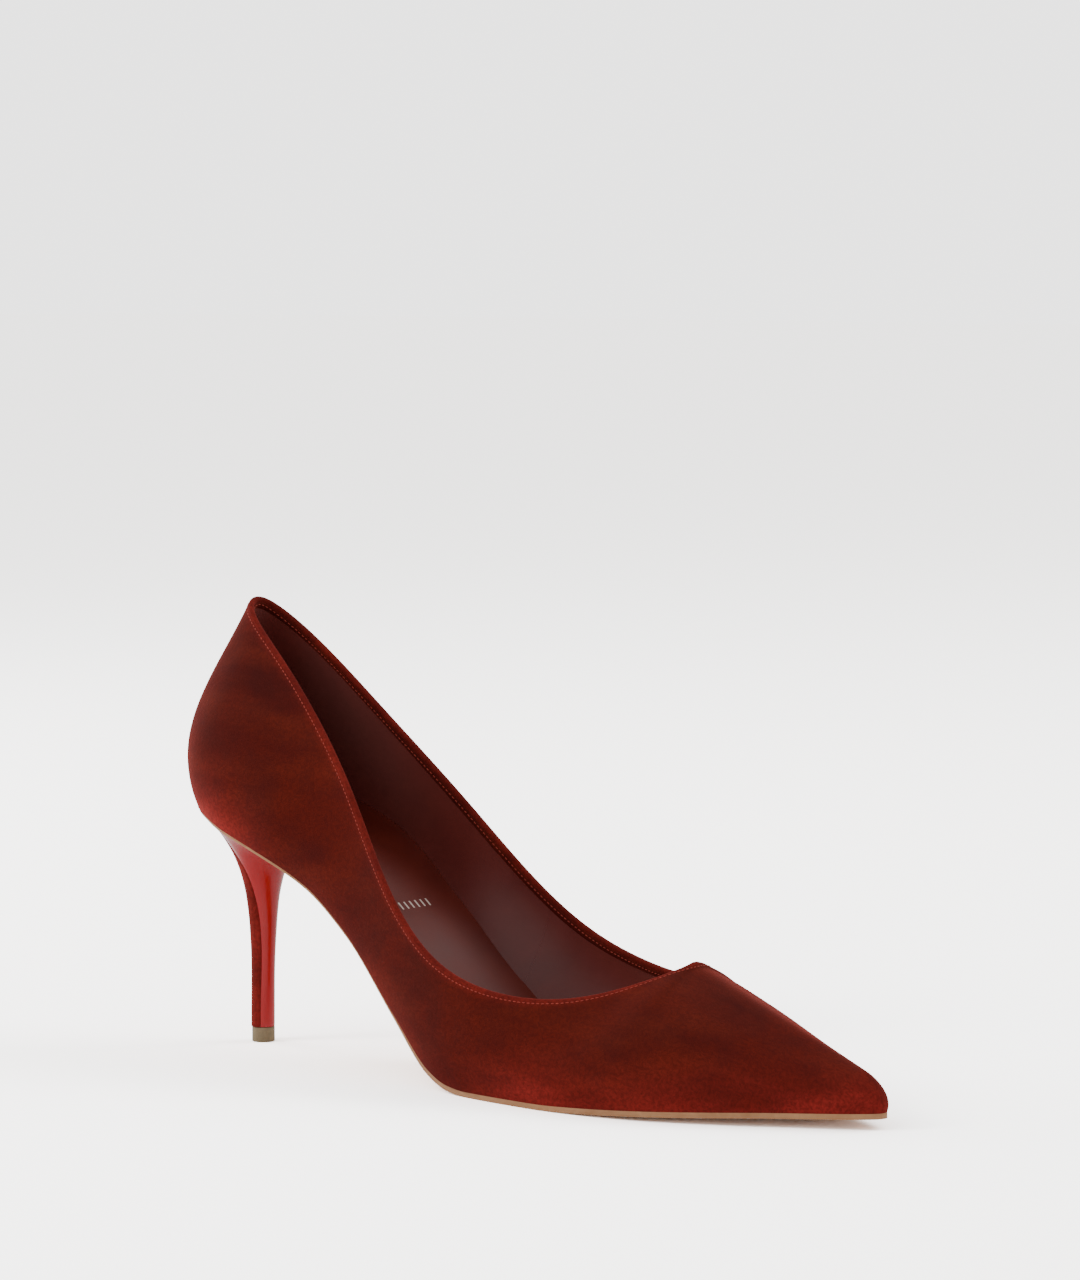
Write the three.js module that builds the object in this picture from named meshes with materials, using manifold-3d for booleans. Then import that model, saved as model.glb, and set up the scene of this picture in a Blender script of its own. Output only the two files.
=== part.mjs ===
// High heel pump, right foot: pointed suede upper on a slim covered heel.
// Millimetres. +X runs from the heel to the toe, +Y to the inner (medial) side, +Z up.
// The shoe is modelled from the back of its heel seat; at the end it is moved so that the
// origin is at the centre of its box, on the ground.

import * as THREE from 'three';
import { mergeVertices } from 'three/addons/utils/BufferGeometryUtils.js';
import Module from 'manifold-3d';

const wasm = await Module();
wasm.setup();

// ---------------------------------------------------------------- driving dimensions

const shoeLength = 256; // back of the heel seat to the toe tip, along X
const heelHeight = 75; // ground to the underside of the sole at the back
const toeSpring = 3.2; // lift of the sole at the toe tip

const seatHalfWidth = 24.8; // sole at the heel seat
const waistLateral = 25.3; // sole half widths at the waist and across the ball
const waistMedial = 22.5;
const ballLateral = 38;
const ballMedial = 36.5;

const backRise = 60.4; // height of the topline over the feather line, at the back
const waistRise = 25.2; // the same at the outer waist, where the topline is lowest
const ballRise = 30.4; // the same at the outer ball
const throatRise = 36.9; // the same at the throat
const medialLift = 2.3; // how much higher the topline runs on the inner side
const backLean = 19.4; // how far the top of the back leans in over the seat
const throatShare = 0.745; // where the topline ends on the vamp, as a share of the length
const toeCapHeight = 11; // height of the toe over the feather line
const toeCapSetback = 8; // from the toe tip to the end of the vamp ridge

const toplineBackHalf = 9; // half width of the opening just ahead of the back
const toplineWaistHalf = 21.1; // and at the waist
const toplineBallHalf = 35.2; // and at the ball

const gap = 0.3; // clearance between neighbouring pieces
const boardGap = 0.5; // clearance between the boards' edges and the wall
const boreSpare = 3; // how far a cutter runs past the face it opens
const trimGap = 0.9; // clearance of the binding and the threads, which follow a tighter curve
const soleGap = 0.6; // clearance between the outsole and the margin over it
const upperThickness = 1.0;
const backerThickness = 0.4; // counter, puff, vamp backer and tape between upper and lining
const liningThickness = 0.7;
const bindingThickness = 0.6;
const bandWidth = 5; // depth of the tape and the binding below the topline
const threadRadius = 0.25;
const liningSeat = 1.7; // where linings and backers start over the feather line

const lastingMargin = 9; // width of the upper that is turned in under the boards
const marginShare = 0.45; // of the half width, where the sole is narrow
const leastMargin = 2.6; // its width at the toe tip
const soleForepart = 2.1;
const soleWaist = 1.5;
const soleSeat = 0.9;
const shankBoardThickness = 1.8;
const insoleThickness = 1.5;
const heelPadThickness = 2.5;
const forepartPadThickness = 1.5;
const sockThickness = 0.8;

const shankWidth = 11;
const shankThickness = 1.0;
const rivetRadius = 1.5;

const heelSetIn = 22.3; // from the back of the seat to the axis of the heel stem
const stemHalfWidth = 3.5; // heel stem just above the top lift
const heelSkin = 0.5; // thickness of the suede cover and of the breast panel
const topLiftHeight = 4.6;
const tubeOuterRadius = 1.6;
const tubeInnerRadius = 1.1;
const tubeLength = 46;
const liftPinRadius = 0.75;
const liftPinLength = 16;
const pinSocket = 2.6; // depth of the pin in the top lift
const screwRadius = 2;
const screwLength = 22;
const nailRadius = 0.8;
const nailGrip = 5; // how far a nail reaches into the heel core
const headHeight = 0.8; // heads of the screw and nails
const screwHeadRadius = 4.4;
const nailHeadRadius = 1.8;
const rearNails = -7; // places of the nails along the seat, from the screw
const frontNails = 3;

// Where pieces begin and end, as shares of the shoe's length.
const counterShares = { lateral: 0.27, medial: 0.33 };
const puffShare = 0.9;
const liningSeamShare = 0.4;
const shankStartShare = 0.05;
const shankEndShare = 0.5;
const shankBoardShare = 0.45;
const rearRivetShare = 0.2;
const frontRivetShare = 0.41;
const padSplitShare = 0.45; // the waist, which has no foam
const seatFront = 24; // reach of the breast ahead of the stem axis, at the seat
const heelInset = 0.8; // how far the heel stays inside the sole's edge
const padInset = 1.5; // how far the pads stop short of the sock's edge
const padLeast = 0.4; // thickness at which a pad is cut off
const legDrop = 0.85; // shares of the band that the binding's leg and the stitches lie below the edge
const stitchDrop = 0.5;

// ---------------------------------------------------------------- lattice counts

const toplineStations = 28; // from the back to the throat, on each side
const crowding = 0.05; // how far the stations crowd towards the throat
const ridgeStations = 8; // along the vamp ridge
const toeStations = 4; // round the toe tip
const wallRows = 7;
const heelLevels = 12;
const heelFacets = 24;

// ---------------------------------------------------------------- curves

/** Station along the shoe, 0 at the back and 1 at the toe tip, of a share of the length. */
const stationOf = (share) => Math.acos(1 - 2 * share) / Math.PI;
const shareOf = (station) => (1 - Math.cos(Math.PI * station)) / 2;

/**
 * Smooth curve through knots of [position, value]. A flat end has no slope there, and a
 * monotone curve never swings past a knot, so that a level stretch stays level.
 */
function curveThrough(knots, { flatEnds = false, monotone = false } = {}) {
  const last = knots.length - 1;
  const slopes = knots.map((knot, k) => {
    if (k === 0 || k === last) {
      if (flatEnds) return 0;
      const [near, far] = k === 0 ? [knots[0], knots[1]] : [knots[last - 1], knots[last]];
      return (far[1] - near[1]) / (far[0] - near[0]);
    }
    const before = knot[0] - knots[k - 1][0];
    const after = knots[k + 1][0] - knot[0];
    const slopeIn = (knot[1] - knots[k - 1][1]) / before;
    const slopeOut = (knots[k + 1][1] - knot[1]) / after;
    if (!monotone) return (slopeIn * after + slopeOut * before) / (before + after);
    if (slopeIn * slopeOut <= 0) return 0;
    return (2 * slopeIn * slopeOut) / (slopeIn + slopeOut);
  });
  return (position) => {
    let k = 0;
    while (k < last - 1 && position > knots[k + 1][0]) k += 1;
    const width = knots[k + 1][0] - knots[k][0];
    const f = THREE.MathUtils.clamp((position - knots[k][0]) / width, 0, 1);
    const rise = f * f * (3 - 2 * f);
    const start = f * (1 - f) * (1 - f) * width * slopes[k];
    const end = f * f * (f - 1) * width * slopes[k + 1];
    return knots[k][1] * (1 - rise) + knots[k + 1][1] * rise + start + end;
  };
}

/** The same through knots of [share of the length, value], read at a station. */
function lengthCurve(knots, options) {
  return curveThrough(knots.map(([share, value]) => [stationOf(share), value]), options);
}

const mix = THREE.MathUtils.lerp;
const smoothstep = THREE.MathUtils.smoothstep;
const radians = THREE.MathUtils.degToRad;

// Sole half widths, outer and inner side.
const halfWidth = {
  lateral: lengthCurve([
    [0, 0], [0.025, 0.5 * seatHalfWidth], [0.064, 0.82 * seatHalfWidth],
    [0.1, 0.95 * seatHalfWidth], [0.16, 1.03 * seatHalfWidth], [0.26, waistLateral],
    [0.37, mix(waistLateral, ballLateral, 0.24)], [0.49, mix(waistLateral, ballLateral, 0.74)],
    [0.594, 0.99 * ballLateral], [0.665, ballLateral], [0.756, 0.9 * ballLateral],
    [0.838, 0.68 * ballLateral], [0.919, 0.385 * ballLateral], [0.97, 0.19 * ballLateral], [1, 0],
  ]),
  medial: lengthCurve([
    [0, 0], [0.025, 0.5 * seatHalfWidth], [0.064, 0.82 * seatHalfWidth],
    [0.1, 0.95 * seatHalfWidth], [0.16, 1.02 * seatHalfWidth],
    [0.26, mix(waistMedial, seatHalfWidth, 0.4)], [0.37, waistMedial],
    [0.49, mix(waistMedial, ballMedial, 0.45)], [0.594, 0.93 * ballMedial],
    [0.675, ballMedial], [0.756, 0.91 * ballMedial], [0.838, 0.695 * ballMedial],
    [0.919, 0.4 * ballMedial], [0.97, 0.2 * ballMedial], [1, 0],
  ]),
};

// Underside of the sole along its middle: heel share, level tread, then the toe spring.
const heelShare = lengthCurve([
  [0, 1], [0.05, 0.955], [0.106, 0.893], [0.167, 0.824], [0.238, 0.716], [0.309, 0.537],
  [0.39, 0.253], [0.457, 0.056], [0.492, 0.011], [0.523, 0], [1, 0],
], { flatEnds: true, monotone: true });
const springShare = lengthCurve([
  [0, 0], [0.625, 0], [0.695, 0.17], [0.797, 0.5], [0.898, 0.81], [1, 1],
], { flatEnds: true, monotone: true });
const soleThickness = lengthCurve([
  [0, soleSeat], [0.2, soleSeat], [0.34, soleWaist], [0.5, soleForepart], [1, soleForepart],
], { flatEnds: true, monotone: true });

const throatStation = stationOf(0.785);
const ridgeEndStation = stationOf(0.961);

// Topline, by its own run from 0 at the back to 1 at the throat.
const toplineX = curveThrough([
  [0, backLean], [0.1, backLean + 1.7], [0.2, backLean + 5.7], [0.3, 0.126 * shoeLength],
  [0.4, 0.169 * shoeLength], [0.5, 0.225 * shoeLength], [0.6, 0.294 * shoeLength],
  [0.7, 0.368 * shoeLength], [0.8, 0.45 * shoeLength], [0.9, 0.545 * shoeLength],
  [0.95, 0.643 * shoeLength], [1, throatShare * shoeLength],
], { flatEnds: true });
const toplineHalf = curveThrough([
  [0, 0], [0.1, 0.52 * toplineBackHalf], [0.2, 0.9 * toplineBackHalf],
  [0.3, 1.18 * toplineBackHalf], [0.4, 1.42 * toplineBackHalf],
  [0.5, mix(toplineBackHalf, toplineWaistHalf, 0.56)], [0.6, toplineWaistHalf],
  [0.7, mix(toplineWaistHalf, toplineBallHalf, 0.57)], [0.8, 0.975 * toplineBallHalf],
  [0.9, toplineBallHalf], [0.95, 0.84 * toplineBallHalf], [1, 0],
]);
const toplineRise = curveThrough([
  [0, backRise], [0.1, 0.99 * backRise], [0.2, 0.962 * backRise], [0.3, 0.915 * backRise],
  [0.4, 0.835 * backRise], [0.5, mix(waistRise, backRise, 0.45)],
  [0.6, mix(waistRise, backRise, 0.19)], [0.7, waistRise],
  [0.8, mix(waistRise, ballRise, 0.65)], [0.9, ballRise],
  [0.95, 0.9 * ballRise], [1, throatRise],
], { flatEnds: true });
const medialRise = curveThrough([
  [0, 0], [0.5, 0], [0.75, 1], [0.88, 1], [0.95, 0.3], [1, 0],
], { flatEnds: true });

// Slopes of the wall, in degrees: outward at the feather line, and down from level at the top.
const flareAngle = lengthCurve([
  [0, 24], [0.1, 24], [0.3, 22], [0.5, 17], [0.7, 12], [0.9, 14], [1, 20],
], { flatEnds: true });
const topAngle = curveThrough([
  [0, 64], [0.3, 66], [0.5, 70], [0.7, 84], [0.8, 86], [0.9, 72], [0.95, 55], [1, 18],
], { flatEnds: true });
const handleShare = 0.37;

// ---------------------------------------------------------------- the last

const sideSign = { lateral: -1, medial: 1 };
const sides = ['lateral', 'medial'];

/** Point of the sole's underside on its middle line. */
function soleMiddle(station) {
  const z = heelHeight * heelShare(station) + toeSpring * springShare(station);
  return new THREE.Vector3(shoeLength * shareOf(station), 0, z);
}

/** Upward normal of the sole, which follows its slope but not its width. */
function soleNormal(station) {
  const middle = THREE.MathUtils.clamp(station, 0.02, 0.98);
  const along = soleMiddle(middle + 0.01).sub(soleMiddle(middle - 0.01)).normalize();
  return new THREE.Vector3(-along.z, 0, along.x);
}

/** Point at the sole's edge, a level above the feather line's own. */
function edgePoint(side, station, level = 0) {
  const sign = sideSign[side];
  const point = soleMiddle(station);
  point.y = sign * halfWidth[side](station);
  return point.addScaledVector(soleNormal(station), soleThickness(station) + soleGap + level);
}

/** Level outward direction of the sole's edge. */
function edgeOutward(side, station) {
  const step = 0.004;
  const before = edgePoint(side, Math.max(station - step, 0));
  const after = edgePoint(side, Math.min(station + step, 1));
  if (station < step) return new THREE.Vector3(-1, 0, 0);
  if (station > 1 - step) return new THREE.Vector3(1, 0, 0);
  const along = after.sub(before);
  return new THREE.Vector3(along.y, 0, 0).setY(-along.x).multiplyScalar(-sideSign[side]).normalize();
}

/** Where the wall ends: on the topline, or on the ridge of the vamp. */
function topPoint(side, station) {
  const feather = edgePoint(side, station);
  if (station <= throatStation) {
    const run = station / throatStation;
    const topline = run + run * run - run * run * run;
    const lift = side === 'medial' ? medialLift * medialRise(topline) : 0;
    return new THREE.Vector3(toplineX(topline), sideSign[side] * toplineHalf(topline),
      feather.z + toplineRise(topline) + lift);
  }
  const run = smoothstep(station, throatStation, ridgeEndStation);
  return topPoint(side, throatStation).lerp(ridgeEnd(), run);
}

/** Front end of the vamp ridge, over the toe. */
function ridgeEnd() {
  const tip = edgePoint('lateral', 1);
  return new THREE.Vector3(tip.x - toeCapSetback, 0, tip.z + toeCapHeight);
}

/** Directions in which the wall leaves the feather line and arrives at the top. */
function wallHandles(side, station, feather, top) {
  const outward = edgeOutward(side, station);
  const chord = top.clone().sub(feather);
  const upward = chord.clone().addScaledVector(outward, -chord.dot(outward)).normalize();
  const flare = radians(flareAngle(station));
  const leave = outward.clone().multiplyScalar(Math.sin(flare)).addScaledVector(upward, Math.cos(flare));
  const across = new THREE.Vector3(0, sideSign[side], 0);
  if (station <= throatStation) {
    const run = station / throatStation;
    const angle = radians(topAngle(run + run * run - run * run * run));
    const turn = smoothstep(run, 0.7, 1);
    const away = outward.clone().lerp(across, turn).normalize();
    const down = upward.lerp(new THREE.Vector3(0, 0, 1), turn).normalize();
    const arrive = away.multiplyScalar(Math.cos(angle)).addScaledVector(down, -Math.sin(angle));
    return { leave, arrive };
  }
  const ridge = ridgeEnd().sub(topPoint(side, throatStation)).normalize();
  const fan = (Math.PI / 2) * smoothstep(station, ridgeEndStation, 1);
  const dip = radians(topAngle(1));
  const arrive = across.multiplyScalar(Math.cos(fan) * Math.cos(dip))
    .addScaledVector(ridge, Math.sin(fan))
    .addScaledVector(new THREE.Vector3(0, 0, -1), Math.cos(fan) * Math.sin(dip));
  return { leave, arrive: arrive.normalize() };
}

/** Vertical line of the wall at a station, as a Bezier curve. */
function wallCurve(side, station) {
  const feather = edgePoint(side, station);
  const top = topPoint(side, station);
  const { leave, arrive } = wallHandles(side, station, feather, top);
  const reach = handleShare * feather.distanceTo(top);
  return new THREE.CubicBezierCurve3(feather, feather.clone().addScaledVector(leave, reach),
    top.clone().addScaledVector(arrive, reach), top);
}

/** Share of a rising curve where a test value reaches its target. */
function solveShare(test, target, low = 0, high = 1) {
  for (let step = 0; step < 40; step += 1) {
    const middle = (low + high) / 2;
    if (test(middle) < target) low = middle;
    else high = middle;
  }
  return (low + high) / 2;
}

// ---------------------------------------------------------------- the wall lattice

const stations = [];
for (let k = 0; k < toplineStations; k += 1) {
  const share = k / toplineStations;
  stations.push((share + crowding * Math.sin(Math.PI * share)) * throatStation);
}
for (let k = 0; k < ridgeStations; k += 1) {
  stations.push(mix(throatStation, ridgeEndStation, k / ridgeStations));
}
for (let k = 0; k <= toeStations; k += 1) stations.push(mix(ridgeEndStation, 1, k / toeStations));
const throatIndex = toplineStations;
const ridgeEndIndex = toplineStations + ridgeStations;
const toeIndex = stations.length - 1;
const bandRow = wallRows - 1;

/** Index of the station nearest to a share of the length. */
function stationAt(share) {
  const wanted = stationOf(share);
  const distances = stations.map((station) => Math.abs(station - wanted));
  return distances.indexOf(Math.min(...distances));
}

/** Name of a lattice vertex: both sides share the back, the toe, the ridge and its end. */
function vertexKey(side, index, row) {
  const onRidge = row === wallRows && index >= throatIndex;
  if (onRidge) return `ridge:${Math.min(index, ridgeEndIndex)}`;
  if (index === 0 || index === toeIndex) return `middle:${index}:${row}`;
  return `${side}:${index}:${row}`;
}

const lattice = new Map();
for (const side of sides) {
  stations.forEach((station, index) => {
    const curve = wallCurve(side, station);
    const normal = soleNormal(station);
    const start = curve.getPoint(0);
    const height = (share) => curve.getPoint(share).sub(start).dot(normal);
    const lowShare = solveShare(height, liningSeat, 0, 0.5);
    const bandShare = 1 - Math.min(bandWidth / curve.getLength(), 0.3);
    for (let row = 0; row <= wallRows; row += 1) {
      let share = row === 0 ? 0 : mix(lowShare, bandShare, (row - 1) / (bandRow - 1));
      if (row === wallRows) share = 1;
      const vertex = { point: curve.getPoint(share), normal: new THREE.Vector3() };
      lattice.set(vertexKey(side, index, row), vertex);
    }
  });
}

/** Triangles of a part of the lattice, as triples of vertex names, faces outward. */
function wallPatch(ranges) {
  const triangles = [];
  for (const { side, from, to, low = 0, high = wallRows } of ranges) {
    for (let index = from; index < to; index += 1) {
      for (let row = low; row < high; row += 1) {
        const corners = [[index, row], [index + 1, row], [index + 1, row + 1], [index, row + 1]]
          .map(([i, j]) => vertexKey(side, i, j));
        if (side === 'medial') corners.reverse();
        for (const [a, b, c] of [[0, 1, 2], [0, 2, 3]]) {
          const triple = [corners[a], corners[b], corners[c]];
          if (new Set(triple).size === 3) triangles.push(triple);
        }
      }
    }
  }
  return triangles;
}

/** The same share of the length on both sides. */
function bothSides(from, to, low, high) {
  return sides.map((side) => ({ side, from, to, low, high }));
}

for (const [a, b, c] of wallPatch(bothSides(0, toeIndex))) {
  const [pa, pb, pc] = [a, b, c].map((name) => lattice.get(name).point);
  const face = pb.clone().sub(pa).cross(pc.clone().sub(pa));
  for (const name of [a, b, c]) lattice.get(name).normal.add(face);
}
for (const vertex of lattice.values()) vertex.normal.normalize();

/** Lattice point at a depth inside the outer face of the upper. */
function wallPoint(name, depth) {
  const { point, normal } = lattice.get(name);
  return point.clone().addScaledVector(normal, -depth);
}

// ---------------------------------------------------------------- solids

/** Closed geometry of indexed triangles, turned inside out if its volume comes out negative. */
function solidGeometry(points, triangles) {
  let volume = 0;
  for (const [a, b, c] of triangles) volume += points[a].dot(points[b].clone().cross(points[c]));
  const faces = volume < 0 ? triangles.map(([a, b, c]) => [a, c, b]) : triangles;
  const geometry = new THREE.BufferGeometry();
  const places = new THREE.Float32BufferAttribute(points.flatMap((p) => p.toArray()), 3);
  geometry.setAttribute('position', places);
  geometry.setIndex(faces.flat());
  return geometry;
}

/** Solid between two faces that share one set of triangles of vertex names. */
function solidBetween(patch, outerPoint, innerPoint) {
  const names = [...new Set(patch.flat())];
  const place = new Map(names.map((name, k) => [name, k]));
  const count = names.length;
  const points = [...names.map(outerPoint), ...names.map(innerPoint)];
  const outer = patch.map((triple) => triple.map((name) => place.get(name)));
  const triangles = [...outer, ...outer.map(([a, b, c]) => [a + count, c + count, b + count])];
  const edges = new Set(outer.flatMap(([a, b, c]) => [`${a},${b}`, `${b},${c}`, `${c},${a}`]));
  for (const edge of edges) {
    const [a, b] = edge.split(',').map(Number);
    if (edges.has(`${b},${a}`)) continue;
    triangles.push([b, a, a + count], [b, a + count, b + count]);
  }
  return solidGeometry(points, triangles);
}

/** Solid through rings of equal count, closed by caps, or joined end to end. */
function loft(rings, joined = false) {
  const count = rings[0].length;
  const triangles = [];
  const last = joined ? rings.length : rings.length - 1;
  for (let r = 0; r < last; r += 1) {
    const next = (r + 1) % rings.length;
    for (let k = 0; k < count; k += 1) {
      const after = (k + 1) % count;
      const [a, b] = [r * count + k, r * count + after];
      const [c, d] = [next * count + after, next * count + k];
      triangles.push([a, b, c], [a, c, d]);
    }
  }
  if (!joined) {
    // Each cap runs in strips from one side to the other, so that it keeps the rings' curve.
    const end = (rings.length - 1) * count;
    for (let k = 0; k < count / 2; k += 1) {
      const [a, b, c, d] = [k, k + 1, count - k - 1, (count - k) % count];
      for (const [p, q, r] of [[a, c, b], [a, d, c]]) {
        if (new Set([p, q, r]).size < 3) continue;
        triangles.push([p, q, r], [end + p, end + r, end + q]);
      }
    }
  }
  return solidGeometry(rings.flat(), triangles);
}

/** Manifold of a closed three.js geometry. */
function manifoldOf(geometry) {
  const bare = geometry.clone();
  bare.deleteAttribute('normal');
  bare.deleteAttribute('uv');
  const merged = mergeVertices(bare, 1e-5);
  return new wasm.Manifold(new wasm.Mesh({
    numProp: 3,
    vertProperties: new Float32Array(merged.attributes.position.array),
    triVerts: new Uint32Array(merged.index.array),
  }));
}

/** Geometry with cutters taken away. */
function cut(geometry, cutters) {
  const whole = manifoldOf(geometry);
  const left = cutters.reduce((solid, cutter) => solid.subtract(manifoldOf(cutter)), whole);
  const mesh = left.getMesh();
  const result = new THREE.BufferGeometry();
  result.setAttribute('position', new THREE.Float32BufferAttribute(mesh.vertProperties, 3));
  result.setIndex([...mesh.triVerts]);
  return result;
}

/** Turned piece on an axis through a point: profile of [radius, height] along the direction. */
function turned(profile, origin, direction, facets = 12) {
  const geometry = new THREE.LatheGeometry(profile.map(([r, h]) => new THREE.Vector2(r, h)), facets);
  const turn = new THREE.Quaternion().setFromUnitVectors(new THREE.Vector3(0, 1, 0), direction);
  geometry.applyQuaternion(turn);
  geometry.translate(origin.x, origin.y, origin.z);
  return geometry;
}

// ---------------------------------------------------------------- materials and scene

const finishes = {
  suede: { color: 0x6e1a10, roughness: 0.95, metalness: 0 },
  thread: { color: 0x8a2a1c, roughness: 0.7, metalness: 0 },
  lining: { color: 0x4a1d1c, roughness: 0.5, metalness: 0 },
  sock: { color: 0x5a2015, roughness: 0.45, metalness: 0 },
  board: { color: 0xb39b76, roughness: 0.9, metalness: 0 },
  backer: { color: 0xd8cfbd, roughness: 0.9, metalness: 0 },
  foam: { color: 0xe3d9c4, roughness: 0.95, metalness: 0 },
  cork: { color: 0x9a7350, roughness: 0.95, metalness: 0 },
  steel: { color: 0x9aa0a6, roughness: 0.35, metalness: 1 },
  sole: { color: 0xc3966e, roughness: 0.55, metalness: 0 },
  gloss: { color: 0xb01218, roughness: 0.08, metalness: 0 },
  plastic: { color: 0xe8e4da, roughness: 0.5, metalness: 0 },
  lift: { color: 0x968769, roughness: 0.6, metalness: 0 },
};

const shoe = new THREE.Group();

function addPiece(name, geometry, finish) {
  const mesh = new THREE.Mesh(geometry, new THREE.MeshStandardMaterial(finishes[finish]));
  mesh.name = name;
  shoe.add(mesh);
  return mesh;
}

// ---------------------------------------------------------------- upper and its layers

const backerDepth = upperThickness + gap;
const liningDepth = backerDepth + backerThickness + gap;
const innerDepth = liningDepth + liningThickness;

/** Layer of the wall between two depths. */
function wallLayer(ranges, depth, thickness) {
  return solidBetween(wallPatch(ranges), (name) => wallPoint(name, depth),
    (name) => wallPoint(name, depth + thickness));
}

/** Inward direction along the sole at its edge, one level millimetre long. */
function inwardAt(side, station) {
  const inward = edgeOutward(side, station).multiplyScalar(-1);
  const normal = soleNormal(station);
  return inward.setZ((-inward.x * normal.x) / normal.z);
}

/** Width of the lasting margin, which narrows where the toe does. */
function marginAt(station) {
  const narrow = Math.min(halfWidth.lateral(station), halfWidth.medial(station));
  return Math.max(Math.min(lastingMargin, marginShare * narrow), leastMargin);
}

/** Name of a vertex at the edge of the lasting margin. */
function hemKey(side, index) {
  return index === 0 || index === toeIndex ? `hem:${index}` : `hem:${side}:${index}`;
}

/** The suede upper: its wall, and the margin turned in under the boards. */
function upperGeometry() {
  const patch = wallPatch(bothSides(0, toeIndex));
  const outer = new Map();
  const inner = new Map();
  for (const name of lattice.keys()) {
    outer.set(name, wallPoint(name, 0));
    inner.set(name, wallPoint(name, upperThickness));
  }
  for (const side of sides) {
    stations.forEach((station, index) => {
      const inward = inwardAt(side, station);
      const normal = soleNormal(station);
      const feather = vertexKey(side, index, 0);
      const hem = hemKey(side, index);
      const edge = edgePoint(side, station);
      const lean = Math.tan(radians(flareAngle(station)));
      inner.set(feather, edge.clone().addScaledVector(inward, upperThickness * (1 - lean / 2))
        .addScaledVector(normal, upperThickness));
      outer.set(hem, edge.clone().addScaledVector(inward, marginAt(station)));
      inner.set(hem, outer.get(hem).clone().addScaledVector(normal, upperThickness));
    });
    for (let index = 0; index < toeIndex; index += 1) {
      const corners = [hemKey(side, index), hemKey(side, index + 1),
        vertexKey(side, index + 1, 0), vertexKey(side, index, 0)];
      if (side === 'medial') corners.reverse();
      patch.push([corners[0], corners[1], corners[2]], [corners[0], corners[2], corners[3]]);
    }
  }
  return solidBetween(patch, (name) => outer.get(name), (name) => inner.get(name));
}

addPiece('suede_upper', upperGeometry(), 'suede');

const counterEnd = {
  lateral: stationAt(counterShares.lateral), medial: stationAt(counterShares.medial),
};
const puffStart = stationAt(puffShare);
const liningSeam = stationAt(liningSeamShare);
const counterTop = wallRows - 3;

addPiece('heel_counter', wallLayer(
  sides.map((side) => ({ side, from: 0, to: counterEnd[side], low: 1, high: counterTop })),
  backerDepth, backerThickness,
), 'backer');
addPiece('toe_puff', wallLayer(bothSides(puffStart, toeIndex, 1, wallRows),
  backerDepth, backerThickness), 'backer');

/** Vamp backer: the sides below the tape and the whole vamp, up to the puff. */
function vampBackerRanges() {
  return sides.flatMap((side) => [
    { side, from: counterEnd[side] + 1, to: throatIndex + 2, low: 1, high: bandRow - 1 },
    { side, from: throatIndex + 2, to: puffStart - 1, low: 1, high: wallRows },
  ]);
}
addPiece('vamp_backer', wallLayer(vampBackerRanges(), backerDepth, backerThickness), 'backer');
addPiece('topline_tape', wallLayer(bothSides(0, throatIndex + 1, bandRow, wallRows),
  backerDepth, backerThickness), 'backer');

/** Linings meet at a seam on each side, where they stop a little short of each other. */
function liningGeometry(from, to) {
  const patch = wallPatch(bothSides(from, to, 1, wallRows));
  const seamRows = Array.from({ length: wallRows }, (_, row) => row + 1);
  const seamOn = (side) => seamRows.map((row) => vertexKey(side, liningSeam, row));
  const seamNames = new Set(sides.flatMap(seamOn));
  const neighbour = from === liningSeam ? liningSeam + 1 : liningSeam - 1;
  const place = (depth) => (name) => {
    if (!seamNames.has(name)) return wallPoint(name, depth);
    const [side, , row] = name.split(':');
    const here = wallPoint(name, depth);
    const there = wallPoint(vertexKey(side, neighbour, Number(row)), depth);
    return here.lerp(there, gap / 2 / here.distanceTo(there));
  };
  return solidBetween(patch, place(liningDepth), place(innerDepth));
}
addPiece('quarter_lining', liningGeometry(0, liningSeam), 'lining');
addPiece('vamp_lining', liningGeometry(liningSeam, toeIndex), 'lining');

// ---------------------------------------------------------------- topline binding and thread

/** Frames round the topline: its edge, the line a band's width below it, and both normals. */
const toplineFrames = [];
for (const [side, order] of [['lateral', 1], ['medial', -1]]) {
  const run = Array.from({ length: throatIndex + 1 }, (_, index) => index);
  const indices = order > 0 ? run : run.slice(1, -1).reverse();
  for (const index of indices) {
    const edge = lattice.get(vertexKey(side, index, wallRows));
    const below = lattice.get(index === throatIndex
      ? vertexKey(side, throatIndex + 1, wallRows) : vertexKey(side, index, bandRow));
    toplineFrames.push({ edge, below });
  }
}

/** Point near the topline: drop is the share of the band below the edge, or mm above it. */
function bandPoint({ edge, below }, depth, drop, above = 0) {
  const point = edge.point.clone().lerp(below.point, drop);
  const normal = edge.normal.clone().lerp(below.normal, drop).normalize();
  const up = edge.point.clone().sub(below.point).normalize();
  return point.addScaledVector(normal, -depth).addScaledVector(up, above);
}

const legDepth = innerDepth + trimGap;
addPiece('topline_binding', loft(toplineFrames.map((frame) => [
  bandPoint(frame, 0, 0, trimGap),
  bandPoint(frame, 0, 0, trimGap + bindingThickness),
  bandPoint(frame, legDepth + bindingThickness, 0, trimGap + bindingThickness),
  bandPoint(frame, legDepth + bindingThickness, legDrop),
  bandPoint(frame, legDepth, legDrop),
  bandPoint(frame, legDepth, 0, trimGap),
]), true), 'suede');

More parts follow.
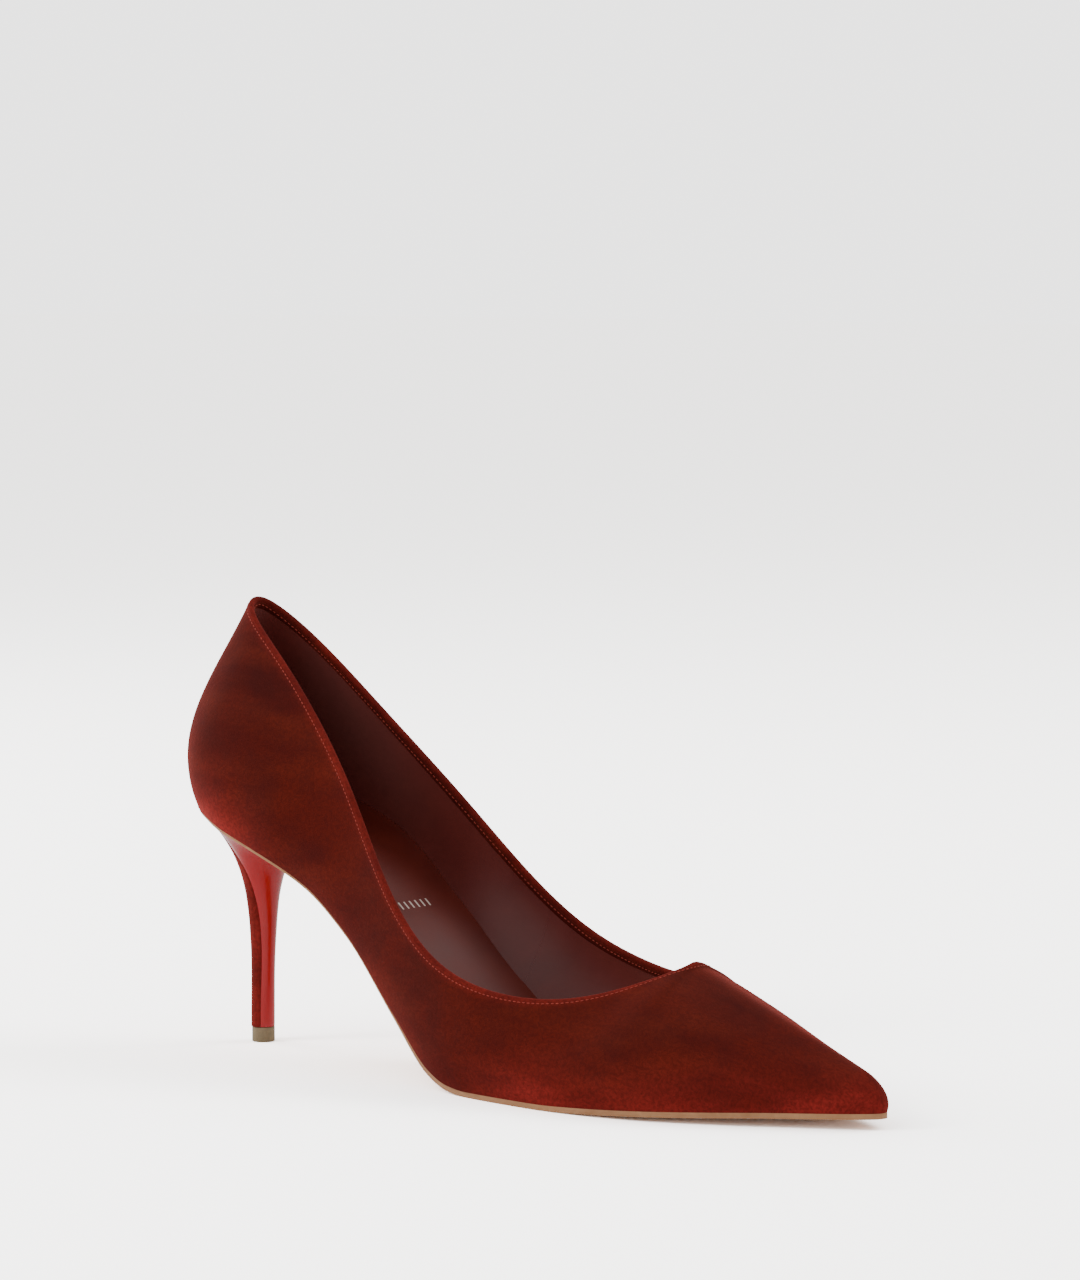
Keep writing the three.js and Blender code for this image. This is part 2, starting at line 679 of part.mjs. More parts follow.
/** Stitch line round the topline, with its middle at a depth. */
function threadGeometry(depth) {
  return loft(toplineFrames.map((frame) => [
    bandPoint(frame, depth - threadRadius, stitchDrop),
    bandPoint(frame, depth, stitchDrop, threadRadius),
    bandPoint(frame, depth + threadRadius, stitchDrop),
    bandPoint(frame, depth, stitchDrop, -threadRadius),
  ]), true);
}
addPiece('needle_thread', threadGeometry(-trimGap - threadRadius), 'thread');
addPiece('bobbin_thread', threadGeometry(legDepth + bindingThickness + trimGap + threadRadius), 'thread');

// ---------------------------------------------------------------- bottom pieces

/** Point of a bottom piece's edge: at a level, clear of the wall by a depth from its face. */
function insidePoint(side, index, level, depth) {
  const station = stations[index];
  const feather = edgePoint(side, station);
  const normal = soleNormal(station);
  const wallRow = (_, row) => wallPoint(vertexKey(side, index, row), depth);
  const rows = Array.from({ length: wallRows + 1 }, wallRow);
  const heights = rows.map((point) => point.clone().sub(feather).dot(normal));
  const inward = inwardAt(side, station);
  let above = heights.findIndex((height, row) => row > 0 && height >= level);
  if (above < 0) above = wallRows;
  const share = (level - heights[above - 1]) / (heights[above] - heights[above - 1]);
  const wall = rows[above - 1].clone().lerp(rows[above], share);
  const reach = wall.sub(feather).dot(inward) / inward.lengthSq();
  return feather.addScaledVector(inward, reach).addScaledVector(normal, level);
}

/** Strip triangles across the bottom between two stations, closed to a point at back and toe. */
function bottomPatch(from, to) {
  const isEnd = (index) => index === 0 || index === toeIndex;
  const name = (side, index) => (isEnd(index) ? `end:${index}` : `${side}:${index}`);
  const patch = [];
  for (let index = from; index < to; index += 1) {
    const corners = [name('lateral', index), name('lateral', index + 1),
      name('medial', index + 1), name('medial', index)];
    for (const [a, b, c] of [[0, 1, 2], [0, 2, 3]]) {
      const triple = [corners[a], corners[b], corners[c]];
      if (new Set(triple).size === 3) patch.push(triple);
    }
  }
  return patch;
}

/** Slab of the bottom between two level functions, its edge given by a point function. */
function bottomSlab(from, to, lowLevel, highLevel, edgeAt) {
  const place = (level) => (name) => {
    const [side, index] = name.split(':');
    return edgeAt(side === 'end' ? 'lateral' : side, Number(index), level(stations[Number(index)]));
  };
  return solidBetween(bottomPatch(from, to), place(highLevel), place(lowLevel));
}

/** Edge function of pieces that fill the shoe out to the wall, with a clearance. */
const toWall = (depth) => (side, index, level) => insidePoint(side, index, level, depth);

/** Edge function of pieces that lie a fixed way in from the feather line. */
const fromEdge = (insetAt) => (side, index, level) => {
  const station = stations[index];
  return edgePoint(side, station, level).addScaledVector(inwardAt(side, station), insetAt(station));
};

const marginTop = upperThickness;
const boardBase = marginTop + gap;
const rearLift = lengthCurve([
  [0, 1], [0.4, 1], [0.53, 0], [1, 0],
], { flatEnds: true, monotone: true });
const padRise = lengthCurve([
  [0, 1], [0.2, 1], [0.3, 0], [1, 0],
], { flatEnds: true, monotone: true });
const forepartRise = lengthCurve([
  [0, 0], [0.53, 0], [0.6, 1], [0.74, 1], [0.82, 0], [1, 0],
], { flatEnds: true, monotone: true });

const insoleLow = (station) => boardBase + rearLift(station) * (shankBoardThickness + gap);
const insoleHigh = (station) => insoleLow(station) + insoleThickness;
const padSpace = (station) => padRise(station) * (heelPadThickness + gap)
  + forepartRise(station) * (forepartPadThickness + gap);
const sockLow = (station) => insoleHigh(station) + gap + padSpace(station);
const constant = (value) => () => value;

// Axes of the fasteners, square to the heel seat.
const seatStation = stationOf(0.095);
const seatUp = soleNormal(seatStation);
const seatCentre = soleMiddle(seatStation);
const nailSide = shankWidth / 2 + nailRadius + 4 * gap;

/** Point over the heel seat, along the seat, across it and over the feather level. */
function seatPoint(along, across, level) {
  const forward = new THREE.Vector3(seatUp.z, 0, -seatUp.x);
  const lift = soleThickness(seatStation) + soleGap + level;
  return seatCentre.clone().addScaledVector(forward, along).add(new THREE.Vector3(0, across, 0))
    .addScaledVector(seatUp, lift);
}
const nailPlaces = [[rearNails, -1], [rearNails, 1], [frontNails, -1], [frontNails, 1]]
  .map(([along, sign]) => [along, sign * nailSide]);

/** Round cutter on a fastener's axis, right through the boards and the sole. */
function boreThrough(along, across, radius) {
  const reach = insoleHigh(seatStation) + soleGap + soleThickness(seatStation) + 2 * boreSpare;
  return turned([[0, 0], [radius, 0], [radius, reach], [0, reach]],
    seatPoint(along, across, insoleHigh(seatStation) + boreSpare - reach), seatUp);
}
const boardCutters = [boreThrough(0, 0, screwRadius + gap),
  ...nailPlaces.map(([along, across]) => boreThrough(along, across, nailRadius + gap))];

// Steel shank and its rivets.
const shankStart = stationAt(shankStartShare);
const shankEnd = stationAt(shankEndShare);
const shankEdge = (side, index, level) => {
  const station = stations[index];
  const middle = edgePoint('lateral', station, level).lerp(edgePoint('medial', station, level), 0.5);
  const across = edgePoint('medial', station).sub(edgePoint('lateral', station)).normalize();
  return middle.addScaledVector(across, (sideSign[side] * shankWidth) / 2);
};

/** Axis of a rivet at a station: its foot on the feather level, and the sole's normal. */
function rivetAxis(index) {
  const station = stations[index];
  const foot = edgePoint('lateral', station).lerp(edgePoint('medial', station), 0.5);
  return { foot, up: soleNormal(station) };
}
const rivets = {
  rear: rivetAxis(stationAt(rearRivetShare)), front: rivetAxis(stationAt(frontRivetShare)),
};
const rivetTop = boardBase + shankBoardThickness;
const rivetBores = Object.values(rivets).map(({ foot, up }) => turned(
  [[0, -boreSpare], [rivetRadius + gap, -boreSpare], [rivetRadius + gap, rivetTop + boreSpare],
    [0, rivetTop + boreSpare]], foot, up,
));
addPiece('steel_shank', cut(
  bottomSlab(shankStart, shankEnd, constant(0), constant(shankThickness), shankEdge),
  [boardCutters[0], ...rivetBores],
), 'steel');

/** Rivet through the shank and its board, up to the insole board. */
function rivetGeometry({ foot, up }) {
  const top = rivetTop - gap;
  return turned([[0, 0], [rivetRadius, 0], [rivetRadius, top], [0, top]], foot, up);
}
addPiece('rivet_rear', rivetGeometry(rivets.rear), 'steel');
addPiece('rivet_front', rivetGeometry(rivets.front), 'steel');

const boardClear = innerDepth + boardGap;
const shankBoardEnd = stationAt(shankBoardShare);
addPiece('shank_board', cut(
  bottomSlab(0, shankBoardEnd, constant(boardBase), (station) => insoleLow(station) - gap,
    toWall(boardClear)),
  [...boardCutters, ...rivetBores],
), 'board');
addPiece('insole_board', cut(bottomSlab(0, toeIndex, insoleLow, insoleHigh, toWall(boardClear)),
  boardCutters), 'board');
addPiece('bottom_filler', bottomSlab(shankEnd + 1, toeIndex - 3, constant(0), constant(marginTop),
  fromEdge((station) => marginAt(station) + gap)), 'cork');

const padClear = innerDepth + boardGap + gap;

/** Foam pad that fills the space under the sock wherever there is room for it. */
function padGeometry(first, last) {
  const room = (index) => padSpace(stations[index]) > 2 * gap + padLeast;
  const indices = stations.map((_, index) => index)
    .filter((index) => index >= first && index <= last && room(index));
  return bottomSlab(indices[0], indices.at(-1), (station) => insoleHigh(station) + gap,
    (station) => sockLow(station) - gap, toWall(padClear + padInset));
}
const padSplit = stationAt(padSplitShare);
addPiece('forepart_pad', padGeometry(padSplit, toeIndex), 'foam');

const headLevel = insoleHigh(seatStation) + gap;
/** Cutter round a fastener's head, open to the face it sits on. */
function headRoom(along, across, headRadius) {
  const radius = headRadius + 2 * gap;
  const reach = headHeight + 2 * gap;
  return turned([[0, 0], [radius, 0], [radius, reach], [0, reach]],
    seatPoint(along, across, headLevel - gap), seatUp);
}
addPiece('heel_pad', cut(padGeometry(0, padSplit), [headRoom(0, 0, screwHeadRadius),
  ...nailPlaces.map(([along, across]) => headRoom(along, across, nailHeadRadius))]), 'foam');
addPiece('sock_lining', bottomSlab(0, toeIndex, sockLow, (station) => sockLow(station) + sockThickness,
  toWall(padClear)), 'sock');

const soleInset = lengthCurve([
  [0, 0.3], [0.2, 0.5], [0.35, 1.2], [0.5, 0.4], [0.6, 0], [1, 0],
], { flatEnds: true, monotone: true });
addPiece('outsole', cut(bottomSlab(0, toeIndex, (station) => -soleGap - soleThickness(station),
  constant(-soleGap), fromEdge(soleInset)), boardCutters), 'sole');

// ---------------------------------------------------------------- heel

// Reach of the heel from its stem axis, by level from 0 at the ground to 1 at the seat:
// the stem stays slim, then flares to the width of the seat.
const stemShare = (flare) => curveThrough([
  [0, 0], [0.42, 0.01], [0.55, 0.04], [0.66, 0.1], [0.75, 0.2], [0.84, 0.37],
  [0.92, 0.6], [1, flare],
], { flatEnds: false });
const backFlare = stemShare(1);
const sideFlare = curveThrough([
  [0, 0], [0.42, 0.01], [0.55, 0.05], [0.66, 0.12], [0.75, 0.23], [0.84, 0.41], [0.92, 0.65], [1, 1],
]);
const frontFlare = curveThrough([
  [0, 0], [0.3, 0.02], [0.5, 0.05], [0.7, 0.09], [0.8, 0.14], [0.88, 0.25], [0.95, 0.52], [1, 1],
]);

/** Level of a heel ring, closer together where the heel flares. */
const ringLevel = (ring) => {
  const share = ring / heelLevels;
  return share * (1.6 - 0.6 * share);
};

/** Height of the sole's underside over the ground at a distance from the back. */
function seatHeight(x) {
  const station = solveShare((s) => soleMiddle(s).x, x, 0, 0.6);
  return soleMiddle(station).z;
}

/** Half width of the sole's narrower side at a distance from the back. */
function soleHalfAt(x) {
  const station = stationOf(x / shoeLength);
  return Math.min(halfWidth.lateral(station), halfWidth.medial(station));
}

/**
 * Point of the heel's face at a level and an angle round the stem axis, 0 at the back and
 * 180 degrees at the front, moved in from the face by a depth.
 */
function heelPoint(level, angle, depth) {
  const backReach = mix(stemHalfWidth, heelSetIn - soleInset(0), backFlare(level)) - depth;
  const sideReach = mix(stemHalfWidth, soleHalfAt(heelSetIn) - heelInset, sideFlare(level)) - depth;
  const frontReach = mix(stemHalfWidth, seatFront, frontFlare(level)) - depth;
  const behind = Math.cos(angle) > 0;
  const x = heelSetIn - Math.cos(angle) * (behind ? backReach : frontReach);
  const round = Math.abs(Math.sin(angle));
  const egg = behind ? soleHalfAt(heelSetIn * (1 - Math.cos(angle))) / soleHalfAt(heelSetIn) : round;
  const y = -Math.sign(Math.sin(angle)) * mix(round, egg, smoothstep(level, 0.55, 1)) * sideReach;
  const base = topLiftHeight + gap;
  const seat = seatHeight(x) - gap;
  return new THREE.Vector3(x, y, mix(base, seat, level));
}

/** Half angle of the suede cover, which gives way to the breast from the seat downwards. */
const coverAngle = curveThrough([[0, 118], [0.6, 116], [0.8, 96], [0.92, 74], [1, 60]]);

const levels = Array.from({ length: heelLevels + 1 }, (_, ring) => ringLevel(ring));
const coverFacets = heelFacets / 4; // from the back to the seam, on each side
const breastFacets = heelFacets / 4; // from the seam to the front, on each side

/** Angles of a ring of the core, whose facets lie under those of the cover and the breast. */
function ringAngles(level) {
  const seam = radians(coverAngle(level));
  const half = [];
  for (let k = 0; k < coverFacets; k += 1) half.push((seam * k) / coverFacets);
  for (let k = 0; k < breastFacets; k += 1) half.push(mix(seam, Math.PI, k / breastFacets));
  const mirrored = half.slice(1).reverse().map((angle) => 2 * Math.PI - angle);
  return [...half, Math.PI, ...mirrored];
}

/** Skin of the heel between two ring angles at each level, short of its seams by half a gap. */
function skinGeometry(facets, spanAt) {
  const name = (ring, k) => `${ring}:${k}`;
  const patch = [];
  for (let ring = 0; ring < heelLevels; ring += 1) {
    for (let k = 0; k < facets; k += 1) {
      const corners = [name(ring, k), name(ring, k + 1), name(ring + 1, k + 1), name(ring + 1, k)];
      patch.push([corners[0], corners[1], corners[2]], [corners[0], corners[2], corners[3]]);
    }
  }
  const place = (depth) => (key) => {
    const [ring, k] = key.split(':').map(Number);
    const level = levels[ring];
    const [from, to] = spanAt(level);
    const radius = heelPoint(level, from, 0).setZ(0).distanceTo(new THREE.Vector3(heelSetIn, 0, 0));
    const seam = gap / 2 / radius;
    return heelPoint(level, mix(from + seam, to - seam, k / facets), depth);
  };
  return solidBetween(patch, place(0), place(heelSkin));
}
addPiece('heel_cover', skinGeometry(2 * coverFacets, (level) => {
  const seam = radians(coverAngle(level));
  return [-seam, seam];
}), 'suede');
addPiece('heel_breast', skinGeometry(2 * breastFacets, (level) => {
  const seam = radians(coverAngle(level));
  return [seam, 2 * Math.PI - seam];
}), 'gloss');

const stemAxis = new THREE.Vector3(heelSetIn, 0, topLiftHeight + gap);
const upright = new THREE.Vector3(0, 0, 1);
const coreRing = (level) => ringAngles(level).map((angle) => heelPoint(level, angle, heelSkin + gap));

const tubeBore = turned([[0, -boreSpare], [tubeOuterRadius + gap, -boreSpare],
  [tubeOuterRadius + gap, tubeLength + gap], [0, tubeLength + gap]], stemAxis, upright);
const screwTip = insoleHigh(seatStation) + gap - screwLength;
const nailTip = -soleGap - soleThickness(seatStation) - gap - nailGrip;

/** Blind bore in the heel for a fastener, from under its tip to well over the seat. */
function blindBore(along, across, radius, tipLevel) {
  const reach = headLevel - tipLevel + boreSpare;
  return turned([[0, 0], [radius + gap, 0], [radius + gap, reach], [0, reach]],
    seatPoint(along, across, tipLevel - gap), seatUp);
}
const coreBores = [tubeBore, blindBore(0, 0, screwRadius, screwTip),
  ...nailPlaces.map(([along, across]) => blindBore(along, across, nailRadius, nailTip))];
addPiece('heel_core', cut(loft(levels.map(coreRing)), coreBores), 'plastic');
addPiece('heel_tube', turned([[tubeInnerRadius, 0], [tubeOuterRadius, 0], [tubeOuterRadius, tubeLength],
  [tubeInnerRadius, tubeLength], [tubeInnerRadius, 0]], stemAxis, upright), 'steel');

/** Headed fastener on a seat axis: shaft, head, and a short point. */
function fastener(along, across, tipLevel, radius, headRadius) {
  const reach = headLevel - tipLevel;
  return turned([[0, 0], [radius, radius * 2], [radius, reach], [headRadius, reach],
    [headRadius, reach + headHeight], [0, reach + headHeight]],
  seatPoint(along, across, tipLevel), seatUp);
}
addPiece('heel_screw', fastener(0, 0, screwTip, screwRadius, screwHeadRadius), 'steel');
nailPlaces.forEach(([along, across], k) => {
  addPiece(`heel_nail_${k + 1}`, fastener(along, across, nailTip, nailRadius, nailHeadRadius), 'steel');
});

// Top lift: a round block with a socket for the pin, which stands in it and in the tube.
const liftBlock = new THREE.CylinderGeometry(stemHalfWidth, stemHalfWidth, topLiftHeight, heelFacets);
liftBlock.rotateX(Math.PI / 2).translate(heelSetIn, 0, topLiftHeight / 2);
const pinFoot = new THREE.Vector3(heelSetIn, 0, topLiftHeight - pinSocket);
const socketBore = turned([[0, -gap], [liftPinRadius + gap, -gap],
  [liftPinRadius + gap, pinSocket + boreSpare], [0, pinSocket + boreSpare]], pinFoot, upright);
addPiece('top_lift', cut(liftBlock, [socketBore]), 'lift');
addPiece('top_lift_pin', turned([[0, 0], [liftPinRadius, 0], [liftPinRadius, liftPinLength],
  [0, liftPinLength]], pinFoot, upright), 'steel');

// ---------------------------------------------------------------- origin

shoe.updateMatrixWorld(true);
const box = new THREE.Box3().setFromObject(shoe, true);
const centre = box.getCenter(new THREE.Vector3());
shoe.position.set(-centre.x, -centre.y, -box.min.z);
shoe.updateMatrixWorld(true);

export default shoe;
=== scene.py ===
"""Fine pieces of a pointed court pump with a slim heel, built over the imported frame."""

import logging
import math
from dataclasses import dataclass, field
from enum import Enum
from functools import cached_property
from typing import Iterable, Sequence

import bpy
import numpy as np
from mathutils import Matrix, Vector
from mathutils.bvhtree import BVHTree


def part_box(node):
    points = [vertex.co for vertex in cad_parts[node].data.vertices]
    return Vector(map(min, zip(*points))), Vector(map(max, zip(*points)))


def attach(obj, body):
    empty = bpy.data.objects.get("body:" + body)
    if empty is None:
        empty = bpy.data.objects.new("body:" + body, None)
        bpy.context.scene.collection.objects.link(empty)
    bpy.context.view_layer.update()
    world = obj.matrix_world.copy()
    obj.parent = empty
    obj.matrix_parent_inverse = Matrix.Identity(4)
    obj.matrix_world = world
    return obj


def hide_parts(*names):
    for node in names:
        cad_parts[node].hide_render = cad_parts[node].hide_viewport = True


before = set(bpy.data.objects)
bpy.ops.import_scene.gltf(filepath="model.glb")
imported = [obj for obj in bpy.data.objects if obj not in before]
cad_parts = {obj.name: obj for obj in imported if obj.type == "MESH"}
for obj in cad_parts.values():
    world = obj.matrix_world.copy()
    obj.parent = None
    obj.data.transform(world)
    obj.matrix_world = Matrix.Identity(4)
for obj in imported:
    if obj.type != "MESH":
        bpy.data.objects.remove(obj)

log = logging.getLogger("pump")

MM = 0.001
BODY = "root"
TINY = 1e-9
BEVEL_SEGMENTS = 3


# ------------------------------------------------------------------ curves and the last


def mix(a: np.ndarray, b: np.ndarray, share: np.ndarray) -> np.ndarray:
    """Value between a and b at a share."""
    return a + (b - a) * share


def smoothstep(at: np.ndarray, low: float, high: float) -> np.ndarray:
    """Soft step from 0 at low to 1 at high."""
    f = np.clip((np.asarray(at, float) - low) / (high - low), 0, 1)
    return f * f * (3 - 2 * f)


def unit(vectors: np.ndarray) -> np.ndarray:
    """The same vectors, one long."""
    return vectors / np.maximum(np.linalg.norm(vectors, axis=-1, keepdims=True), TINY)


def station_of(share: float | np.ndarray) -> np.ndarray:
    """Station along the shoe, 0 at the back and 1 at the toe, of a share of its length."""
    return np.arccos(1 - 2 * np.asarray(share, float)) / np.pi


def share_of(station: float | np.ndarray) -> np.ndarray:
    """Share of the shoe's length at a station."""
    return (1 - np.cos(np.pi * np.asarray(station, float))) / 2


@dataclass(frozen=True)
class Curve:
    """Smooth curve through knots of (position, value).

    A flat end has no slope there, and a monotone curve never swings past a knot.
    """

    knots: tuple[tuple[float, float], ...]
    flat_ends: bool = False
    monotone: bool = False

    @cached_property
    def slopes(self) -> np.ndarray:
        """Slope of the curve at each knot."""
        x, y = np.array(self.knots, float).T
        width = np.diff(x)
        rise = np.diff(y) / width
        if self.monotone:
            same = rise[:-1] * rise[1:] > 0
            total = np.where(same, rise[:-1] + rise[1:], 1)
            inner = np.where(same, 2 * rise[:-1] * rise[1:] / total, 0)
        else:
            inner = (rise[:-1] * width[1:] + rise[1:] * width[:-1]) / (width[:-1] + width[1:])
        ends = (0.0, 0.0) if self.flat_ends else (rise[0], rise[-1])
        return np.concatenate([[ends[0]], inner, [ends[1]]])

    def __call__(self, at: float | np.ndarray) -> np.ndarray:
        """Value of the curve at a position."""
        x, y = np.array(self.knots, float).T
        at = np.asarray(at, float)
        k = np.clip(np.searchsorted(x, at, side="left") - 1, 0, len(x) - 2)
        width = x[k + 1] - x[k]
        f = np.clip((at - x[k]) / width, 0, 1)
        rise = f * f * (3 - 2 * f)
        start = f * (1 - f) ** 2 * width * self.slopes[k]
        end = f * f * (f - 1) * width * self.slopes[k + 1]
        return y[k] * (1 - rise) + y[k + 1] * rise + start + end


def along(knots: Sequence[tuple[float, float]], **options: bool) -> Curve:
    """Curve through knots of (share of the length, value), read at a station."""
    return Curve(tuple((float(station_of(share)), value) for share, value in knots), **options)


@dataclass(frozen=True)
class Fairing:
    """Draws a closed line towards the fairest one near it, and holds it close at some points."""

    stiffness: float = 40000.0
    hold: float = 400.0
    hold_reach: float = 16.0

    def __call__(self, line: np.ndarray, held: Sequence[int]) -> np.ndarray:
        """Fairs a line.

        Args:
            line: Closed line of points a millimetre apart.
            held: Numbers of the points where it keeps its bends.

        Returns:
            The fair line, point for point.
        """
        count = len(line)
        weight = np.ones(count)
        for point in held:
            away = np.abs(np.arange(count) - point)
            weight += self.hold * np.exp(-(np.minimum(away, count - away) / self.hold_reach) ** 2)
        still = np.eye(count)
        bend = np.roll(still, 1, 0) - 2 * still + np.roll(still, -1, 0)
        pull = np.diag(weight) + self.stiffness * bend.T @ bend
        return np.linalg.solve(pull, weight[:, None] * line)


def softened(ring: np.ndarray, rounds: int) -> np.ndarray:
    """Directions round a closed line, averaged with their neighbours."""
    for _ in range(rounds):
        ring = unit(np.roll(ring, 1, 0) + 2 * ring + np.roll(ring, -1, 0))
    return ring


def read(at: np.ndarray, places: np.ndarray, values: np.ndarray) -> np.ndarray:
    """Vectors read between given places."""
    return np.stack([np.interp(at, places, column) for column in values.T], -1)


class Side(Enum):
    """Outer and inner side of the foot, with their sign along Y."""

    LATERAL = -1.0
    MEDIAL = 1.0


Faces = list[tuple[int, ...]]
Span = tuple[Side, int, int, int, int]


@dataclass(frozen=True)
class Last:
    """Shape of the shoe over its last, in millimetres from the back of the seat."""

    length: float = 256.0
    heel_height: float = 75.0
    toe_spring: float = 3.2
    seat_half: float = 24.8
    waist_lateral: float = 25.3
    waist_medial: float = 22.5
    ball_lateral: float = 38.0
    ball_medial: float = 36.5
    back_rise: float = 60.4
    waist_rise: float = 25.2
    ball_rise: float = 30.4
    throat_rise: float = 36.9
    medial_lift: float = 2.3
    back_lean: float = 19.4
    throat_share: float = 0.745
    toe_cap_height: float = 11.0
    toe_cap_setback: float = 8.0
    topline_back_half: float = 9.0
    topline_waist_half: float = 21.1
    topline_ball_half: float = 35.2
    cement: float = 0.05
    settle: float = 0.55
    sole_forepart: float = 1.6
    sole_waist: float = 1.25
    sole_seat: float = 0.9
    handle_share: float = 0.37
    throat_at: float = 0.785
    topline_samples: int = 801
    ridge_end_at: float = 0.961
    margin: float = 9.0
    margin_share: float = 0.45
    least_margin: float = 2.6

    @cached_property
    def throat(self) -> float:
        """Station of the wall line that ends at the throat."""
        return float(station_of(self.throat_at))

    @cached_property
    def ridge_end(self) -> float:
        """Station of the wall line that ends at the front of the vamp ridge."""
        return float(station_of(self.ridge_end_at))

    @cached_property
    def half_width(self) -> dict[Side, Curve]:
        """Half width of the sole on each side."""
        seat, ball = self.seat_half, self.ball_lateral
        lateral = [
            (0, 0), (0.025, 0.5 * seat), (0.064, 0.82 * seat), (0.1, 0.95 * seat),
            (0.16, 1.03 * seat), (0.26, self.waist_lateral),
            (0.37, mix(self.waist_lateral, ball, 0.24)),
            (0.49, mix(self.waist_lateral, ball, 0.74)),
            (0.594, 0.99 * ball), (0.665, ball), (0.756, 0.9 * ball), (0.838, 0.68 * ball),
            (0.919, 0.385 * ball), (0.97, 0.19 * ball), (1, 0),
        ]
        ball, waist = self.ball_medial, self.waist_medial
        medial = [
            (0, 0), (0.025, 0.5 * seat), (0.064, 0.82 * seat), (0.1, 0.95 * seat),
            (0.16, 1.02 * seat), (0.26, mix(waist, seat, 0.4)), (0.37, waist),
            (0.49, mix(waist, ball, 0.45)), (0.594, 0.93 * ball), (0.675, ball),
            (0.756, 0.91 * ball), (0.838, 0.695 * ball), (0.919, 0.4 * ball),
            (0.97, 0.2 * ball), (1, 0),
        ]
        return {Side.LATERAL: along(lateral), Side.MEDIAL: along(medial)}

    @cached_property
    def heel_share(self) -> Curve:
        """Height of the seat, down to the level tread."""
        knots = [
            (0, 1), (0.05, 0.955), (0.106, 0.893), (0.167, 0.824), (0.238, 0.716),
            (0.309, 0.537), (0.39, 0.253), (0.457, 0.056), (0.492, 0.011), (0.523, 0), (1, 0),
        ]
        return along(knots, flat_ends=True, monotone=True)

    @cached_property
    def spring_share(self) -> Curve:
        """Rise of the toe ahead of the tread."""
        knots = [(0, 0), (0.625, 0), (0.695, 0.17), (0.797, 0.5), (0.898, 0.81), (1, 1)]
        return along(knots, flat_ends=True, monotone=True)

    @cached_property
    def sole_thickness(self) -> Curve:
        """Thickness of the outsole."""
        knots = [
            (0, self.sole_seat), (0.2, self.sole_seat), (0.34, self.sole_waist),
            (0.5, self.sole_forepart), (1, self.sole_forepart),
        ]
        return along(knots, flat_ends=True, monotone=True)

    @cached_property
    def topline(self) -> tuple[Curve, Curve, Curve, Curve]:
        """Reach, half width, rise and inner lift of the topline, by its own run."""
        long, back = self.length, self.topline_back_half
        waist, ball = self.topline_waist_half, self.topline_ball_half
        lean, high, low, side = self.back_lean, self.back_rise, self.waist_rise, self.ball_rise
        reach = Curve((
            (0, lean), (0.1, lean + 1.7), (0.2, lean + 5.7), (0.3, 0.126 * long),
            (0.4, 0.169 * long), (0.5, 0.225 * long), (0.6, 0.294 * long), (0.7, 0.368 * long),
            (0.8, 0.45 * long), (0.9, 0.545 * long), (0.95, 0.643 * long),
            (1, self.throat_share * long),
        ), flat_ends=True)
        half = Curve((
            (0, 0), (0.1, 0.52 * back), (0.2, 0.9 * back), (0.3, 1.18 * back), (0.4, 1.42 * back),
            (0.5, mix(back, waist, 0.56)), (0.6, waist), (0.7, mix(waist, ball, 0.57)),
            (0.8, 0.975 * ball), (0.9, ball), (0.95, 0.84 * ball), (1, 0),
        ))
        rise = Curve((
            (0, high), (0.1, 0.99 * high), (0.2, 0.962 * high), (0.3, 0.915 * high),
            (0.4, 0.835 * high), (0.5, mix(low, high, 0.45)), (0.6, mix(low, high, 0.19)),
            (0.7, low), (0.8, mix(low, side, 0.65)), (0.9, side), (0.95, 0.9 * side),
            (1, self.throat_rise),
        ), flat_ends=True)
        lift = Curve(
            ((0, 0), (0.5, 0), (0.75, 1), (0.88, 1), (0.95, 0.3), (1, 0)), flat_ends=True
        )
        return reach, half, rise, lift

    @cached_property
    def flare_angle(self) -> Curve:
        """Outward lean of the wall at the feather line, in degrees."""
        knots = [(0, 24), (0.1, 24), (0.3, 22), (0.5, 17), (0.7, 12), (0.9, 14), (1, 20)]
        return along(knots, flat_ends=True)

    @cached_property
    def top_angle(self) -> Curve:
        """Slope of the wall at its top, in degrees down from level."""
        return Curve((
            (0, 64), (0.3, 66), (0.5, 70), (0.7, 84), (0.8, 86), (0.9, 72), (0.95, 55), (1, 18),
        ), flat_ends=True)

    def middle(self, station: np.ndarray) -> np.ndarray:
        """Points of the sole's underside on its middle line."""
        station = np.asarray(station, float)
        seat = self.heel_height * self.heel_share(station)
        height = seat + self.toe_spring * self.spring_share(station)
        return np.stack([self.length * share_of(station), np.zeros_like(station), height], -1)

    def normal(self, station: np.ndarray) -> np.ndarray:
        """Upward normals of the sole."""
        at = np.clip(station, 0.02, 0.98)
        run = unit(self.middle(at + 0.01) - self.middle(at - 0.01))
        return np.stack([-run[..., 2], np.zeros_like(at), run[..., 0]], -1)

    def edge(self, side: Side, station: np.ndarray, level: float | np.ndarray = 0.0) -> np.ndarray:
        """Points at the sole's edge, a level over the feather line."""
        point = self.middle(station)
        point[..., 1] = side.value * self.half_width[side](station)
        over = self.sole_thickness(station) + self.cement + level
        return point + self.normal(station) * np.asarray(over)[..., None]

    def outward(self, side: Side, station: np.ndarray) -> np.ndarray:
        """Level outward directions of the sole's edge."""
        step = 0.004
        station = np.asarray(station, float)
        ahead, behind = np.minimum(station + step, 1), np.maximum(station - step, 0)
        run = self.edge(side, ahead) - self.edge(side, behind)
        out = np.stack([run[..., 1], -run[..., 0], np.zeros_like(station)], -1)
        out = unit(out) * -side.value
        out[station < step] = (-1, 0, 0)
        out[station > 1 - step] = (1, 0, 0)
        return out

    def hem_width(self, station: np.ndarray) -> np.ndarray:
        """Width of the lasting margin under the insole."""
        narrow = np.minimum(*(self.half_width[side](station) for side in Side))
        return np.maximum(np.minimum(self.margin, self.margin_share * narrow), self.least_margin)

